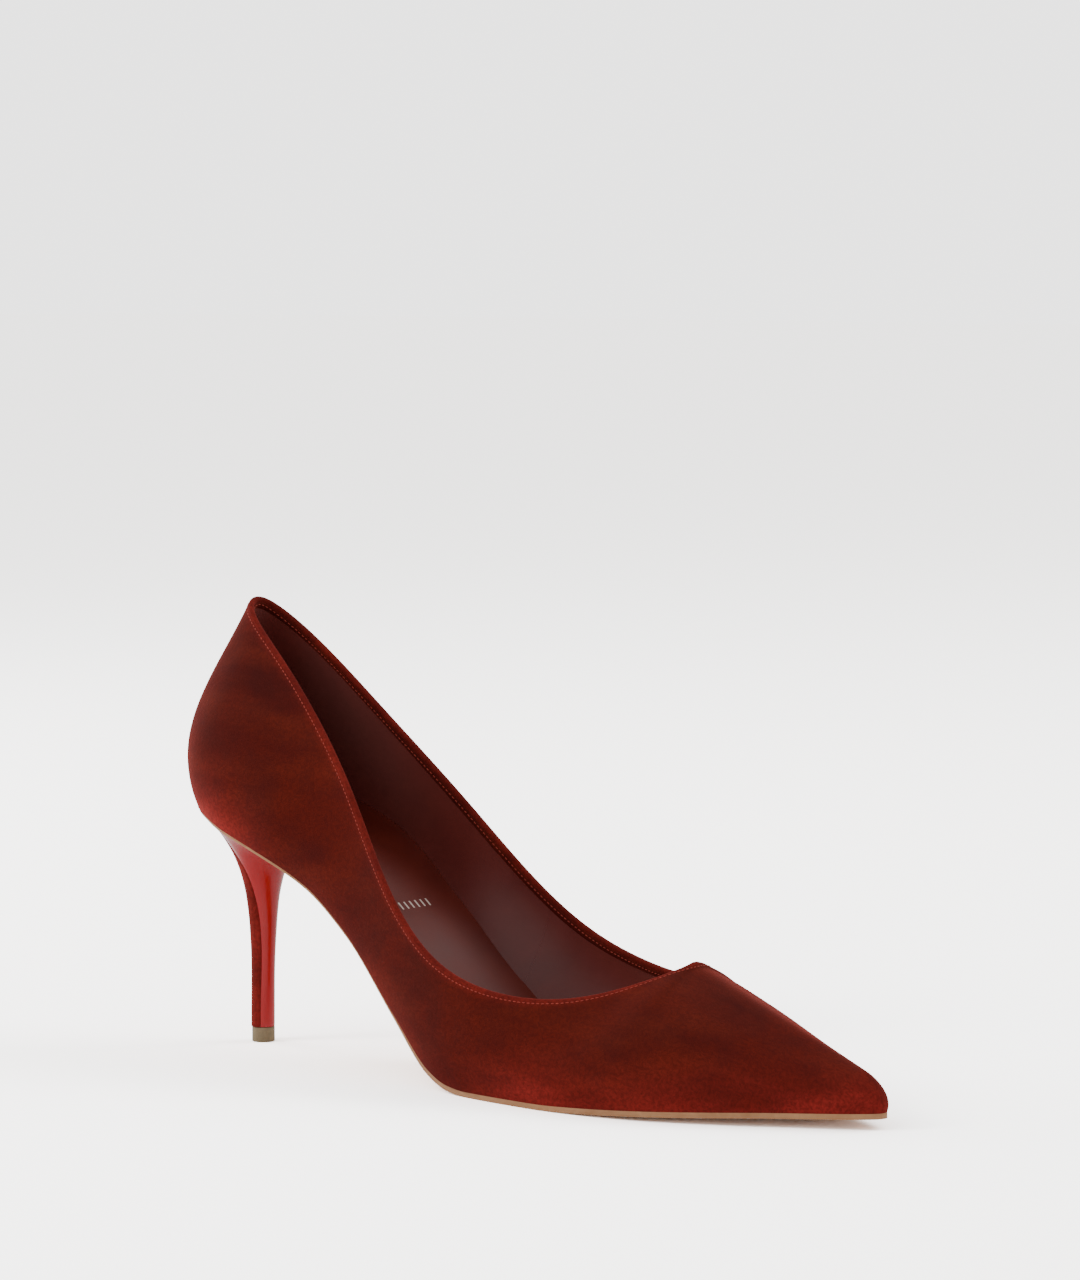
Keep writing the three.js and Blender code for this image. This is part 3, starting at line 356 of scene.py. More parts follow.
    def inward(self, side: Side, station: np.ndarray) -> np.ndarray:
        """Inward directions along the sole's own slope."""
        inward = -self.outward(side, station)
        normal = self.normal(station)
        inward[..., 2] = -inward[..., 0] * normal[..., 0] / normal[..., 2]
        return inward

    def ridge_front(self) -> np.ndarray:
        """Front end of the vamp ridge, over the toe."""
        tip = self.edge(Side.LATERAL, np.array([1.0]))[0]
        height = tip[2] + self.toe_cap_height + self.settle
        return np.array([tip[0] - self.toe_cap_setback, 0, height])

    def drafted_top(self, side: Side, station: np.ndarray) -> np.ndarray:
        """Points of the topline as its curves draft it, before it is faired."""
        run = station / self.throat
        run = run + run**2 - run**3
        reach, half, rise, lift = self.topline
        extra = self.medial_lift * lift(run) if side is Side.MEDIAL else 0.0
        height = self.edge(side, station)[..., 2] + rise(run) + extra + self.settle
        return np.stack([reach(run), side.value * half(run), height], -1)

    @cached_property
    def fair_top(self) -> tuple[np.ndarray, dict[Side, np.ndarray]]:
        """Stations of the topline, and its fair points there on each side."""
        stations = np.linspace(0, self.throat, self.topline_samples)
        outer, inner = (self.drafted_top(side, stations) for side in Side)
        loop = np.vstack([outer, inner[-2::-1]])
        run = np.concatenate([[0], np.cumsum(np.linalg.norm(np.diff(loop, axis=0), axis=1))])
        count = int(run[-1])
        even = np.arange(count) * run[-1] / count
        throat = run[len(stations) - 1]
        fair = Fairing()(read(even, run, loop), [0, int(throat)])
        fair = read(run, np.append(even, run[-1]), np.vstack([fair, fair[:1]]))
        turn = len(stations) - 1
        return stations, {Side.LATERAL: fair[: turn + 1], Side.MEDIAL: fair[turn:][::-1]}

    def top(self, side: Side, station: np.ndarray) -> np.ndarray:
        """Upper ends of the wall lines, on the topline or on the ridge of the vamp."""
        station = np.asarray(station, float)
        places, fair = self.fair_top
        point = read(np.minimum(station, self.throat), places, fair[side])
        ahead = smoothstep(station, self.throat, self.ridge_end)[..., None]
        return mix(point, self.ridge_front(), ahead)

    def handles(self, side: Side, station: np.ndarray, feather: np.ndarray,
                top: np.ndarray) -> tuple[np.ndarray, np.ndarray]:
        """Directions in which the wall leaves the feather line and arrives at its top.

        Args:
            side: Side of the foot.
            station: Stations of the wall lines.
            feather: Their lower ends.
            top: Their upper ends.

        Returns:
            The leaving and the arriving directions.
        """
        outward = self.outward(side, station)
        chord = top - feather
        upward = unit(chord - outward * np.sum(chord * outward, -1, keepdims=True))
        flare = np.radians(self.flare_angle(station))[..., None]
        leave = outward * np.sin(flare) + upward * np.cos(flare)
        across = np.array([0, side.value, 0])
        run = np.minimum(station, self.throat) / self.throat
        angle = np.radians(self.top_angle(run + run**2 - run**3))[..., None]
        turn = smoothstep(run, 0.7, 1)[..., None]
        away = unit(mix(outward, across, turn))
        down = unit(mix(upward, np.array([0, 0, 1.0]), turn))
        arrive = away * np.cos(angle) - down * np.sin(angle)
        ridge = unit(self.ridge_front() - self.top(side, np.array([self.throat]))[0])
        fan = (np.pi / 2 * smoothstep(station, self.ridge_end, 1))[..., None]
        dip = math.radians(float(self.top_angle(1.0)))
        ahead = (
            across * np.cos(fan) * math.cos(dip)
            + ridge * np.sin(fan)
            - np.array([0, 0, 1.0]) * np.cos(fan) * math.sin(dip)
        )
        beyond = (np.asarray(station) > self.throat)[..., None]
        return leave, np.where(beyond, unit(ahead), arrive)

    def wall(self, side: Side, station: np.ndarray, share: np.ndarray) -> np.ndarray:
        """Grid of points of the wall's outer face.

        Args:
            side: Side of the foot.
            station: Stations of the wall lines.
            share: Shares of the way up each line, from the feather line to its top.

        Returns:
            Points by station and share.
        """
        feather, top = self.edge(side, station), self.top(side, station)
        leave, arrive = self.handles(side, station, feather, top)
        reach = self.handle_share * np.linalg.norm(top - feather, axis=-1, keepdims=True)
        ends = [feather, feather + leave * reach, top + arrive * reach, top]
        t = np.asarray(share, float)[None, :, None]
        weights = [(1 - t) ** 3, 3 * (1 - t) ** 2 * t, 3 * (1 - t) * t**2, t**3]
        return sum(weight * end[:, None, :] for weight, end in zip(weights, ends))


# ------------------------------------------------------------------ meshes


@dataclass
class Solid:
    """Points in millimetres and faces of one piece."""

    points: np.ndarray
    faces: Faces
    # Share of a painted sheen highlight at each point, for suede pieces.
    painted_sheen: np.ndarray | None = None

    def normals(self) -> np.ndarray:
        """Area-weighted normals of the points."""
        normal = np.zeros_like(self.points)
        for count in (3, 4):
            faces = np.array([f for f in self.faces if len(f) == count], int).reshape(-1, count)
            if not len(faces):
                continue
            a, b, c = (self.points[faces[:, k]] for k in (0, 1, 2))
            d = self.points[faces[:, count - 1]]
            area = np.cross(c - a, d - b) if count == 4 else np.cross(b - a, c - a)
            for k in range(count):
                np.add.at(normal, faces[:, k], area)
        return unit(normal)


def shell(faces: Faces, outer: np.ndarray, inner: np.ndarray,
          painted_sheen: np.ndarray | None = None) -> Solid:
    """Closed solid between two sheets that share one set of faces.

    Args:
        faces: Faces of the outer sheet, facing outwards.
        outer: Points of the outer sheet.
        inner: Points of the inner sheet, one for each outer one.
        painted_sheen: Share of a painted sheen highlight mixed into the colour at each point, where
            that matters.

    Returns:
        The solid, with its open rims closed.
    """
    used = sorted({v for face in faces for v in face})
    place = {v: k for k, v in enumerate(used)}
    count = len(used)
    front = [tuple(place[v] for v in face) for face in faces]
    edges = {(face[k], face[(k + 1) % len(face)]) for face in front for k in range(len(face))}
    rim = [(b, a, a + count, b + count) for a, b in edges if (b, a) not in edges]
    back = [tuple(v + count for v in reversed(face)) for face in front]
    # Both sheets carry the same painted sheen highlight shares.
    lightened = None if painted_sheen is None else np.concatenate([painted_sheen[used], painted_sheen[used]])
    return Solid(np.vstack([outer[used], inner[used]]), front + back + sorted(rim), lightened)


def grid_faces(index: np.ndarray, flip: bool = False) -> Faces:
    """Faces of a grid of point numbers, with doubled corners dropped."""
    faces = []
    for i in range(index.shape[0] - 1):
        for j in range(index.shape[1] - 1):
            corners = [index[i, j], index[i + 1, j], index[i + 1, j + 1], index[i, j + 1]]
            kept = [int(v) for k, v in enumerate(corners) if v != corners[k - 1]]
            if len(set(kept)) >= 3:
                faces.append(tuple(reversed(kept)) if flip else tuple(kept))
    return faces


def relaxed(points: np.ndarray, faces: Faces, weight: np.ndarray, rounds: int) -> np.ndarray:
    """Points drawn towards the mean of their neighbours.

    Args:
        points: Points to ease.
        faces: Faces that join them.
        weight: How freely each point moves, from 0 to 1.
        rounds: Number of passes.

    Returns:
        The eased points.
    """
    pairs = {tuple(sorted((f[k], f[(k + 1) % len(f)]))) for f in faces for k in range(len(f))}
    a, b = np.array(sorted(pairs)).T
    count = np.bincount(np.concatenate([a, b]), minlength=len(points))[:, None]
    eased = points.copy()
    for _ in range(rounds):
        total = np.zeros_like(eased)
        np.add.at(total, a, eased[b])
        np.add.at(total, b, eased[a])
        eased += (total / np.maximum(count, 1) - eased) * 0.5 * weight[:, None]
    return eased


def added(name: str, data: bpy.types.ID) -> bpy.types.Object:
    """New object in the scene."""
    obj = bpy.data.objects.new(name, data)
    bpy.context.scene.collection.objects.link(obj)
    return obj


def evaluated(obj: bpy.types.Object, name: str) -> bpy.types.Mesh:
    """Shape of an object under its modifiers, as a mesh of its own."""
    graph = bpy.context.evaluated_depsgraph_get()
    mesh = bpy.data.meshes.new_from_object(obj.evaluated_get(graph))
    mesh.name = name
    return mesh


@dataclass
class Workbench:
    """Turns solids in shoe millimetres into pieces that ride on the frame."""

    heel_axis: float

    @cached_property
    def origin(self) -> np.ndarray:
        """Place of the back of the seat in the frame, in millimetres."""
        low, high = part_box("top_lift")
        axis = np.array([(low.x + high.x) / 2, (low.y + high.y) / 2, low.z]) / MM
        return axis - (self.heel_axis, 0, 0)

    def placed(self, points: np.ndarray) -> np.ndarray:
        """Points of the frame, in metres."""
        return (np.asarray(points, float) + self.origin) * MM

    def piece(self, name: str, solid: Solid, finish: "Finish", replaces: Iterable[str] = (),
              crease: float = 38.0, bevel: float = 0.0) -> bpy.types.Object:
        """Adds a piece and ties it to the frame.

        Args:
            name: Name of the piece.
            solid: Its points and faces.
            finish: What it is made of.
            replaces: CAD nodes that it stands for.
            crease: Angle in degrees from which an edge shows sharp.
            bevel: Width of a rounding on its sharp edges, in millimetres.

        Returns:
            The piece.
        """
        mesh = bpy.data.meshes.new(name)
        mesh.from_pydata(self.placed(solid.points).tolist(), [], solid.faces)
        # The painted sheen highlight shares go on as a point attribute that the suede colour reads.
        if solid.painted_sheen is not None:
            mesh.attributes.new("painted_sheen", "FLOAT", "POINT").data.foreach_set("value", solid.painted_sheen)
        mesh.validate()
        if not self.encloses(solid):
            mesh.flip_normals()
        obj = added(name, mesh)
        if bevel:
            rounding = obj.modifiers.new("rounding", "BEVEL")
            rounding.width = bevel * MM
            rounding.segments = BEVEL_SEGMENTS
            rounding.limit_method = "ANGLE"
            rounding.angle_limit = math.radians(crease)
            rounding.harden_normals = False
            rounded = evaluated(obj, name)
            obj.modifiers.clear()
            obj.data = rounded
        obj.data.shade_smooth()
        obj.data.set_sharp_from_angle(angle=math.radians(crease))
        obj.data.materials.clear()
        obj.data.materials.append(finish.material())
        return self.tie(obj, finish, replaces)

    @staticmethod
    def encloses(solid: Solid) -> bool:
        """Whether the faces point outwards."""
        total = 0.0
        for face in solid.faces:
            a = solid.points[face[0]]
            for b, c in zip(face[1:], face[2:]):
                total += float(np.dot(a, np.cross(solid.points[b], solid.points[c])))
        return total > 0

    @staticmethod
    def tie(obj: bpy.types.Object, finish: "Finish", replaces: Iterable[str]) -> bpy.types.Object:
        """Makes a piece ride on the body and stand for its nodes."""
        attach(obj, BODY)
        nodes = list(replaces)
        if nodes:
            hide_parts(*nodes)
        log.info("%s: %d faces", obj.name, len(obj.data.polygons))
        return obj


# ------------------------------------------------------------------ node groups


Spot = bpy.types.NodeSocket
Pair = tuple[Spot, Spot]


class Effect(Enum):
    """Shader effects that several finishes share."""

    MOTTLE = "mottle"
    FIBRE = "fibre"
    PORES = "pores"
    WEAVE = "weave"


class Sketch:
    """Short hand for adding and joining nodes in one tree."""

    def __init__(self, tree: bpy.types.NodeTree) -> None:
        """Starts on a tree.

        Args:
            tree: Tree that takes the nodes.
        """
        self.tree = tree

    def add(self, kind: str, **values: object) -> bpy.types.Node:
        """Adds a node.

        Args:
            kind: Type of the node.
            values: Its properties, and its inputs by name or by number after "in_".

        Returns:
            The node.
        """
        node = self.tree.nodes.new(kind)
        for key, value in values.items():
            if not key.startswith("in_"):
                setattr(node, key, value)
        for key, value in values.items():
            if key.startswith("in_"):
                name = key[3:].replace("_", " ")
                self.feed(node.inputs[int(name) if name.isdigit() else name], value)
        return node

    def feed(self, spot: bpy.types.NodeSocket, value: object) -> None:
        """Joins a socket to an input, or sets the input to a constant."""
        if isinstance(value, bpy.types.NodeSocket):
            self.tree.links.new(value, spot)
        else:
            spot.default_value = value

    def maths(self, operation: str, *values: object) -> bpy.types.NodeSocket:
        """Result of a calculation on numbers or sockets."""
        node = self.add("ShaderNodeMath", operation=operation)
        for spot, value in zip(node.inputs, values):
            self.feed(spot, value)
        return node.outputs[0]

    def blend(self, share: object, a: object, b: object) -> bpy.types.NodeSocket:
        """Colour between two others."""
        node = self.add("ShaderNodeMix", data_type="RGBA", in_0=share, in_6=a, in_7=b)
        return node.outputs[2]

    def noise(self, vector: object, scale: object, detail: float, roughness: float = 0.5,
              distortion: float = 0.0) -> bpy.types.Node:
        """Noise texture."""
        return self.add("ShaderNodeTexNoise", in_Vector=vector, in_Scale=scale, in_Detail=detail,
                        in_Roughness=roughness, in_Distortion=distortion)

    def warped(self, vector: object, by: object, reach: float) -> bpy.types.NodeSocket:
        """Vector moved by a colour, as far as a reach in metres."""
        return self.add("ShaderNodeVectorMath", operation="MULTIPLY_ADD", in_0=by,
                        in_1=(reach, reach, reach), in_2=vector).outputs[0]

    def span(self, value: object, low: float, high: float, to_low: float = 0.0,
             to_high: float = 1.0) -> Spot:
        """Value spread from one span over another, and held at its ends."""
        node = self.add("ShaderNodeMapRange", in_0=value)
        for spot, number in zip(list(node.inputs)[1:5], (low, high, to_low, to_high)):
            self.feed(spot, number)
        return node.outputs[0]


def fresh(block: bpy.types.Material | bpy.types.World) -> Sketch:
    """Empty node tree of a material or a world."""
    block.use_nodes = True
    block.node_tree.nodes.clear()
    return Sketch(block.node_tree)


def group(effect: Effect) -> bpy.types.NodeTree:
    """Node group of a shared effect, made once.

    Args:
        effect: Which effect.

    Returns:
        The group, with named inputs and outputs.
    """
    found = bpy.data.node_groups.get(effect.value)
    if found:
        return found
    tree = bpy.data.node_groups.new(effect.value, "ShaderNodeTree")
    face = tree.interface
    face.new_socket("Vector", in_out="INPUT", socket_type="NodeSocketVector")
    for name, value in {"Scale": 100.0, "Contrast": 1.0}.items():
        face.new_socket(name, in_out="INPUT", socket_type="NodeSocketFloat").default_value = value
    face.new_socket("Share", in_out="OUTPUT", socket_type="NodeSocketFloat")
    face.new_socket("Height", in_out="OUTPUT", socket_type="NodeSocketFloat")
    sketch = Sketch(tree)
    start = sketch.add("NodeGroupInput")
    end = sketch.add("NodeGroupOutput")
    vector, scale, contrast = (start.outputs[name] for name in ("Vector", "Scale", "Contrast"))
    share, height = {
        Effect.MOTTLE: mottle, Effect.FIBRE: fibre, Effect.PORES: pores, Effect.WEAVE: weave,
    }[effect](sketch, vector, scale)
    centred = sketch.maths("MULTIPLY_ADD", sketch.maths("SUBTRACT", share, 0.5), contrast, 0.5)
    held = sketch.maths("MINIMUM", sketch.maths("MAXIMUM", centred, 0.0), 1.0)
    tree.links.new(held, end.inputs[0])
    tree.links.new(height, end.inputs[1])
    return tree


def mottle(sketch: Sketch, vector: Spot, scale: Spot) -> Pair:
    """Soft clouds, with smaller ones inside them."""
    broad = sketch.noise(vector, scale, 3.0, 0.55, 0.6)
    finer = sketch.noise(vector, sketch.maths("MULTIPLY", scale, 4.3), 2.0)
    large = sketch.maths("MULTIPLY", broad.outputs[0], 0.7)
    total = sketch.maths("MULTIPLY_ADD", finer.outputs[0], 0.3, large)
    return sketch.span(total, 0.34, 0.66), total


def fibre(sketch: Sketch, vector: Spot, scale: Spot) -> Pair:
    """Short fibres that lie over each other in tufts."""
    warp = sketch.noise(vector, sketch.maths("MULTIPLY", scale, 0.12), 2.0)
    lean = sketch.warped(vector, warp.outputs[1], 0.004)
    stretch = sketch.add("ShaderNodeVectorMath", operation="MULTIPLY", in_0=lean,
                         in_1=(0.55, 1.0, 0.6))
    tuft = sketch.noise(stretch.outputs[0], scale, 4.0, 0.7)
    speck = sketch.noise(lean, sketch.maths("MULTIPLY", scale, 3.1), 2.0)
    height = sketch.maths("MULTIPLY_ADD", speck.outputs[0], 0.35, tuft.outputs[0])
    return sketch.span(tuft.outputs[0], 0.3, 0.7), height


def pores(sketch: Sketch, vector: Spot, scale: Spot) -> Pair:
    """Fine leather grain: small plates with creases between them."""
    bend = sketch.noise(vector, sketch.maths("MULTIPLY", scale, 0.3), 2.0)
    moved = sketch.warped(vector, bend.outputs[1], 0.0015)
    plates = sketch.add("ShaderNodeTexVoronoi", feature="DISTANCE_TO_EDGE", in_Vector=moved,
                        in_Scale=scale)
    crease = sketch.span(plates.outputs[0], 0.0, 0.12)
    fine = sketch.noise(vector, sketch.maths("MULTIPLY", scale, 2.2), 3.0)
    height = sketch.maths("MULTIPLY_ADD", fine.outputs[0], 0.4, crease)
    return fine.outputs[0], height


def weave(sketch: Sketch, vector: Spot, scale: Spot) -> Pair:
    """Plain weave of two crossing sets of threads."""
    parts = sketch.add("ShaderNodeSeparateXYZ", in_0=vector)
    slant = sketch.maths("ADD", parts.outputs[1], parts.outputs[2])
    warp = sketch.maths("SINE", sketch.maths("MULTIPLY", parts.outputs[0], scale))
    weft = sketch.maths("SINE", sketch.maths("MULTIPLY", slant, scale))
    height = sketch.maths("MULTIPLY", warp, weft)
    return sketch.span(height, -1.0, 1.0), height


# ------------------------------------------------------------------ finishes


Colour = tuple[float, float, float, float]


def tone(red: int, green: int, blue: int) -> Colour:
    """Linear colour of a screen colour from 0 to 255."""
    def linear(value: int) -> float:
        """Linear light of one channel."""
        share = value / 255
        return share / 12.92 if share <= 0.04045 else ((share + 0.055) / 1.055) ** 2.4
    return linear(red), linear(green), linear(blue), 1.0


@dataclass(frozen=True)
class Finish:
    """What a piece is made of: two tones, a grain, and how it takes light."""

    name: str
    slot: str
    dark: Colour
    light: Colour
    effect: Effect = Effect.MOTTLE
    scale: float = 60.0
    contrast: float = 1.0
    grain: Effect = Effect.PORES
    grain_scale: float = 900.0
    grain_depth: float = 0.03
    grain_strength: float = 0.3
    rough: tuple[float, float] = (0.5, 0.6)
    metallic: float = 0.0
    specular: float = 0.5
    sheen: float = 0.0
    sheen_rough: float = 0.4
    sheen_tint: Colour = (1.0, 1.0, 1.0, 1.0)
    coat: float = 0.0
    coat_rough: float = 0.05

    def material(self) -> bpy.types.Material:
        """The finish as a material, made once."""
        found = bpy.data.materials.get(self.name)
        if found:
            return found
        made = bpy.data.materials.new(self.name)
        self.draw(fresh(made))
        made.diffuse_color = self.light
        return made

    def draw(self, sketch: Sketch) -> None:
        """Lays out the nodes.

        Args:
            sketch: Tree of the material.
        """
        place = sketch.add("ShaderNodeTexCoord").outputs["Object"]
        clouds = sketch.add("ShaderNodeGroup", node_tree=group(self.effect), in_Vector=place,
                            in_Scale=self.scale, in_Contrast=self.contrast).outputs["Share"]
        grain = sketch.add("ShaderNodeGroup", node_tree=group(self.grain), in_Vector=place,
                           in_Scale=self.grain_scale)
        colour = self.colour(sketch, place, clouds, grain.outputs["Share"])
        bump = sketch.add("ShaderNodeBump", in_Strength=self.grain_strength,
                          in_Distance=self.grain_depth * MM, in_Height=grain.outputs["Height"])
        shader = sketch.add(
            "ShaderNodeBsdfPrincipled", in_Base_Color=colour,
            in_Roughness=sketch.span(clouds, 0.0, 1.0, *self.rough), in_Metallic=self.metallic,
            in_Specular_IOR_Level=self.specular, in_Sheen_Weight=self.sheen,
            in_Sheen_Roughness=self.sheen_rough, in_Sheen_Tint=self.sheen_tint,
            in_Coat_Weight=self.coat, in_Coat_Roughness=self.coat_rough, in_Normal=bump.outputs[0],
        )
        sketch.add("ShaderNodeOutputMaterial", in_Surface=shader.outputs[0])

    def colour(self, sketch: Sketch, place: Spot, clouds: Spot, grain: Spot) -> Spot:
        """Colour between the two tones, broken by the grain."""
        base = sketch.blend(clouds, self.dark, self.light)
        return sketch.blend(sketch.span(grain, 0.35, 0.65, 0.0, 0.16), base, self.dark)


@dataclass(frozen=True)
class Suede(Finish):
    """Suede whose fibres lie in brushed patches, with a painted sheen highlight mixed in where a
    piece's points carry one.
    """

    lightened: Colour = (0.3, 0.03, 0.02, 1.0)
    painted_sheen_colour: Colour = (0.3, 0.04, 0.03, 1.0)

    def colour(self, sketch: Sketch, place: Spot, clouds: Spot, grain: Spot) -> Spot:
        """Brushed patches with lifted fibres a touch lighter, and a pinkish painted sheen
        highlight, broken into patches, where the points carry one.
        """
        strokes = sketch.add("ShaderNodeMapping", in_Vector=place, in_Rotation=(0.2, 0.9, 0.35),
                             in_Scale=(0.4, 1.0, 1.5))
        brushed = sketch.noise(strokes.outputs[0], 55.0, 4.0, 0.55, 0.3)
        base = sketch.blend(clouds, self.dark, self.light)
        lifted = sketch.span(brushed.outputs[0], 0.42, 0.75, 0.0, 0.45)
        swept = sketch.blend(lifted, base, self.lightened)
        # Painted sheen highlight: each point's painted sheen share, broken up by the brushing
        # noise, mixes in a lighter pinkish colour.
        painted_sheen_share = sketch.add("ShaderNodeAttribute", attribute_name="painted_sheen").outputs["Fac"]
        broken = sketch.span(brushed.outputs[0], 0.3, 0.6, 0.35, 1.0)
        patchy_sheen = sketch.maths("MULTIPLY", painted_sheen_share, broken)
        painted_sheen_colour = sketch.blend(patchy_sheen, swept, self.painted_sheen_colour)
        return sketch.blend(sketch.span(grain, 0.2, 0.8, 0.0, 0.5), painted_sheen_colour, self.dark)


@dataclass(frozen=True)
class Foiled(Finish):
    """Sock leather with a generic foil mark of plain dashes."""

    foil: Colour = (0.75, 0.72, 0.68, 1.0)
    mark_at: tuple[float, float] = (0.0, 0.0)
    mark_size: tuple[float, float] = (0.022, 0.0022)
    dashes: int = 9
    dash_share: float = 0.14
    dash_start: float = 10.5
    cover: float = 0.8

    def colour(self, sketch: Sketch, place: Spot, clouds: Spot, grain: Spot) -> Spot:
        """The leather's colour, with the dashes over it."""
        base = super().colour(sketch, place, clouds, grain)
        parts = sketch.add("ShaderNodeSeparateXYZ", in_0=place)
        run, off = (
            sketch.maths("DIVIDE", sketch.maths("SUBTRACT", parts.outputs[axis], at), size)
            for axis, at, size in zip((1, 0), self.mark_at[::-1], self.mark_size)
        )
        inside, narrow = (
            sketch.maths("LESS_THAN", sketch.maths("ABSOLUTE", place), 0.5) for place in (run, off)
        )
        beat = sketch.maths("FRACT", sketch.maths("MULTIPLY_ADD", run, float(self.dashes),
                                                  self.dash_start))
        middle = sketch.maths("ABSOLUTE", sketch.maths("SUBTRACT", beat, 0.5))
        dash = sketch.maths("LESS_THAN", middle, self.dash_share)
        shown = sketch.maths("MULTIPLY", sketch.maths("MULTIPLY", inside, narrow), dash)
        return sketch.blend(sketch.maths("MULTIPLY", shown, self.cover), base, self.foil)


@dataclass(frozen=True)
class Palette:
    """Finishes of the whole shoe."""

    suede: Finish = Suede(
        "rust_suede", "suede", tone(60, 13, 9), tone(84, 21, 13), scale=34.0, contrast=1.0,
        grain=Effect.FIBRE, grain_scale=1500.0, grain_depth=0.14, grain_strength=0.6,
        rough=(0.9, 1.0), specular=0.1, sheen=0.5, sheen_rough=0.35, sheen_tint=tone(215, 90, 80),
        # Of the last two colours, the first is the lighter brushed tone and the second the painted
        # sheen highlight.
        lightened=tone(110, 38, 22), painted_sheen_colour=tone(152, 42, 38),
    )
    thread: Finish = Finish(
        "stitch_thread", "thread", tone(132, 42, 32), tone(162, 62, 48), scale=900.0,
        grain=Effect.WEAVE, grain_scale=9000.0, grain_depth=0.02, rough=(0.6, 0.7), specular=0.3,
    )
    lining: Finish = Finish(
        "kid_lining", "lining", tone(84, 25, 21), tone(102, 35, 29), scale=30.0, contrast=0.8,
        grain_scale=1500.0, grain_depth=0.03, grain_strength=0.25, rough=(0.36, 0.44),
        specular=0.55, sheen=0.7, sheen_rough=0.5, sheen_tint=tone(235, 150, 140),
    )
    sock: Finish = Foiled(
        "sock_leather", "sock", tone(80, 22, 13), tone(98, 31, 19), scale=26.0, contrast=0.8,
        grain_scale=1400.0, grain_depth=0.03, grain_strength=0.25, rough=(0.42, 0.52),
        specular=0.3, foil=tone(205, 190, 180), mark_at=(-0.046, 0.0),
    )
    board: Finish = Finish(
        "fibre_board", "board", tone(150, 125, 90), tone(190, 165, 125), scale=300.0,
        grain=Effect.FIBRE, grain_scale=1500.0, rough=(0.85, 0.95), specular=0.2,
    )
    backer: Finish = Finish(
        "backing_cloth", "backer", tone(195, 185, 165), tone(222, 214, 198), scale=120.0,
        grain=Effect.WEAVE, grain_scale=9000.0, grain_depth=0.06, rough=(0.85, 0.95),
        specular=0.2,
    )
    foam: Finish = Finish(
        "latex_foam", "foam", tone(205, 192, 165), tone(232, 222, 200), scale=700.0,
        grain=Effect.PORES, grain_scale=1300.0, grain_depth=0.15, grain_strength=0.6,
        rough=(0.9, 1.0), specular=0.1,
    )
    cork: Finish = Finish(
        "cork_filler", "cork", tone(105, 72, 45), tone(170, 130, 90), scale=420.0, contrast=1.6,
        grain=Effect.PORES, grain_scale=600.0, grain_depth=0.2, grain_strength=0.6,
        rough=(0.9, 1.0), specular=0.1,
    )
    steel: Finish = Finish(
        "spring_steel", "steel", tone(140, 144, 150), tone(176, 180, 186), scale=220.0,
        grain=Effect.FIBRE, grain_scale=1800.0, grain_depth=0.01, rough=(0.28, 0.4), metallic=1.0,
    )
    sole: Finish = Finish(
        "sole_leather", "sole", tone(152, 104, 68), tone(186, 138, 98), scale=120.0, contrast=0.7,
        grain=Effect.FIBRE, grain_scale=1100.0, grain_depth=0.04, grain_strength=0.25,
        rough=(0.5, 0.62), specular=0.4,
    )
    lacquer: Finish = Finish(
        "red_lacquer", "gloss", tone(168, 18, 24), tone(178, 22, 28), scale=40.0, contrast=0.6,
        grain=Effect.MOTTLE, grain_scale=260.0, grain_depth=0.03, grain_strength=0.12,
        rough=(0.22, 0.28), specular=0.3, coat=0.28, coat_rough=0.04,
    )
    plastic: Finish = Finish(
        "heel_plastic", "plastic", tone(214, 208, 196), tone(230, 226, 216), scale=80.0,
        grain=Effect.MOTTLE, grain_scale=700.0, grain_depth=0.02, rough=(0.4, 0.5),
    )
    lift: Finish = Finish(
        "lift_rubber", "lift", tone(116, 101, 75), tone(142, 124, 94), scale=500.0, contrast=0.8,
        grain=Effect.MOTTLE, grain_scale=1600.0, grain_depth=0.03, grain_strength=0.3,
        rough=(0.5, 0.62), specular=0.35,
    )


# ------------------------------------------------------------------ the upper


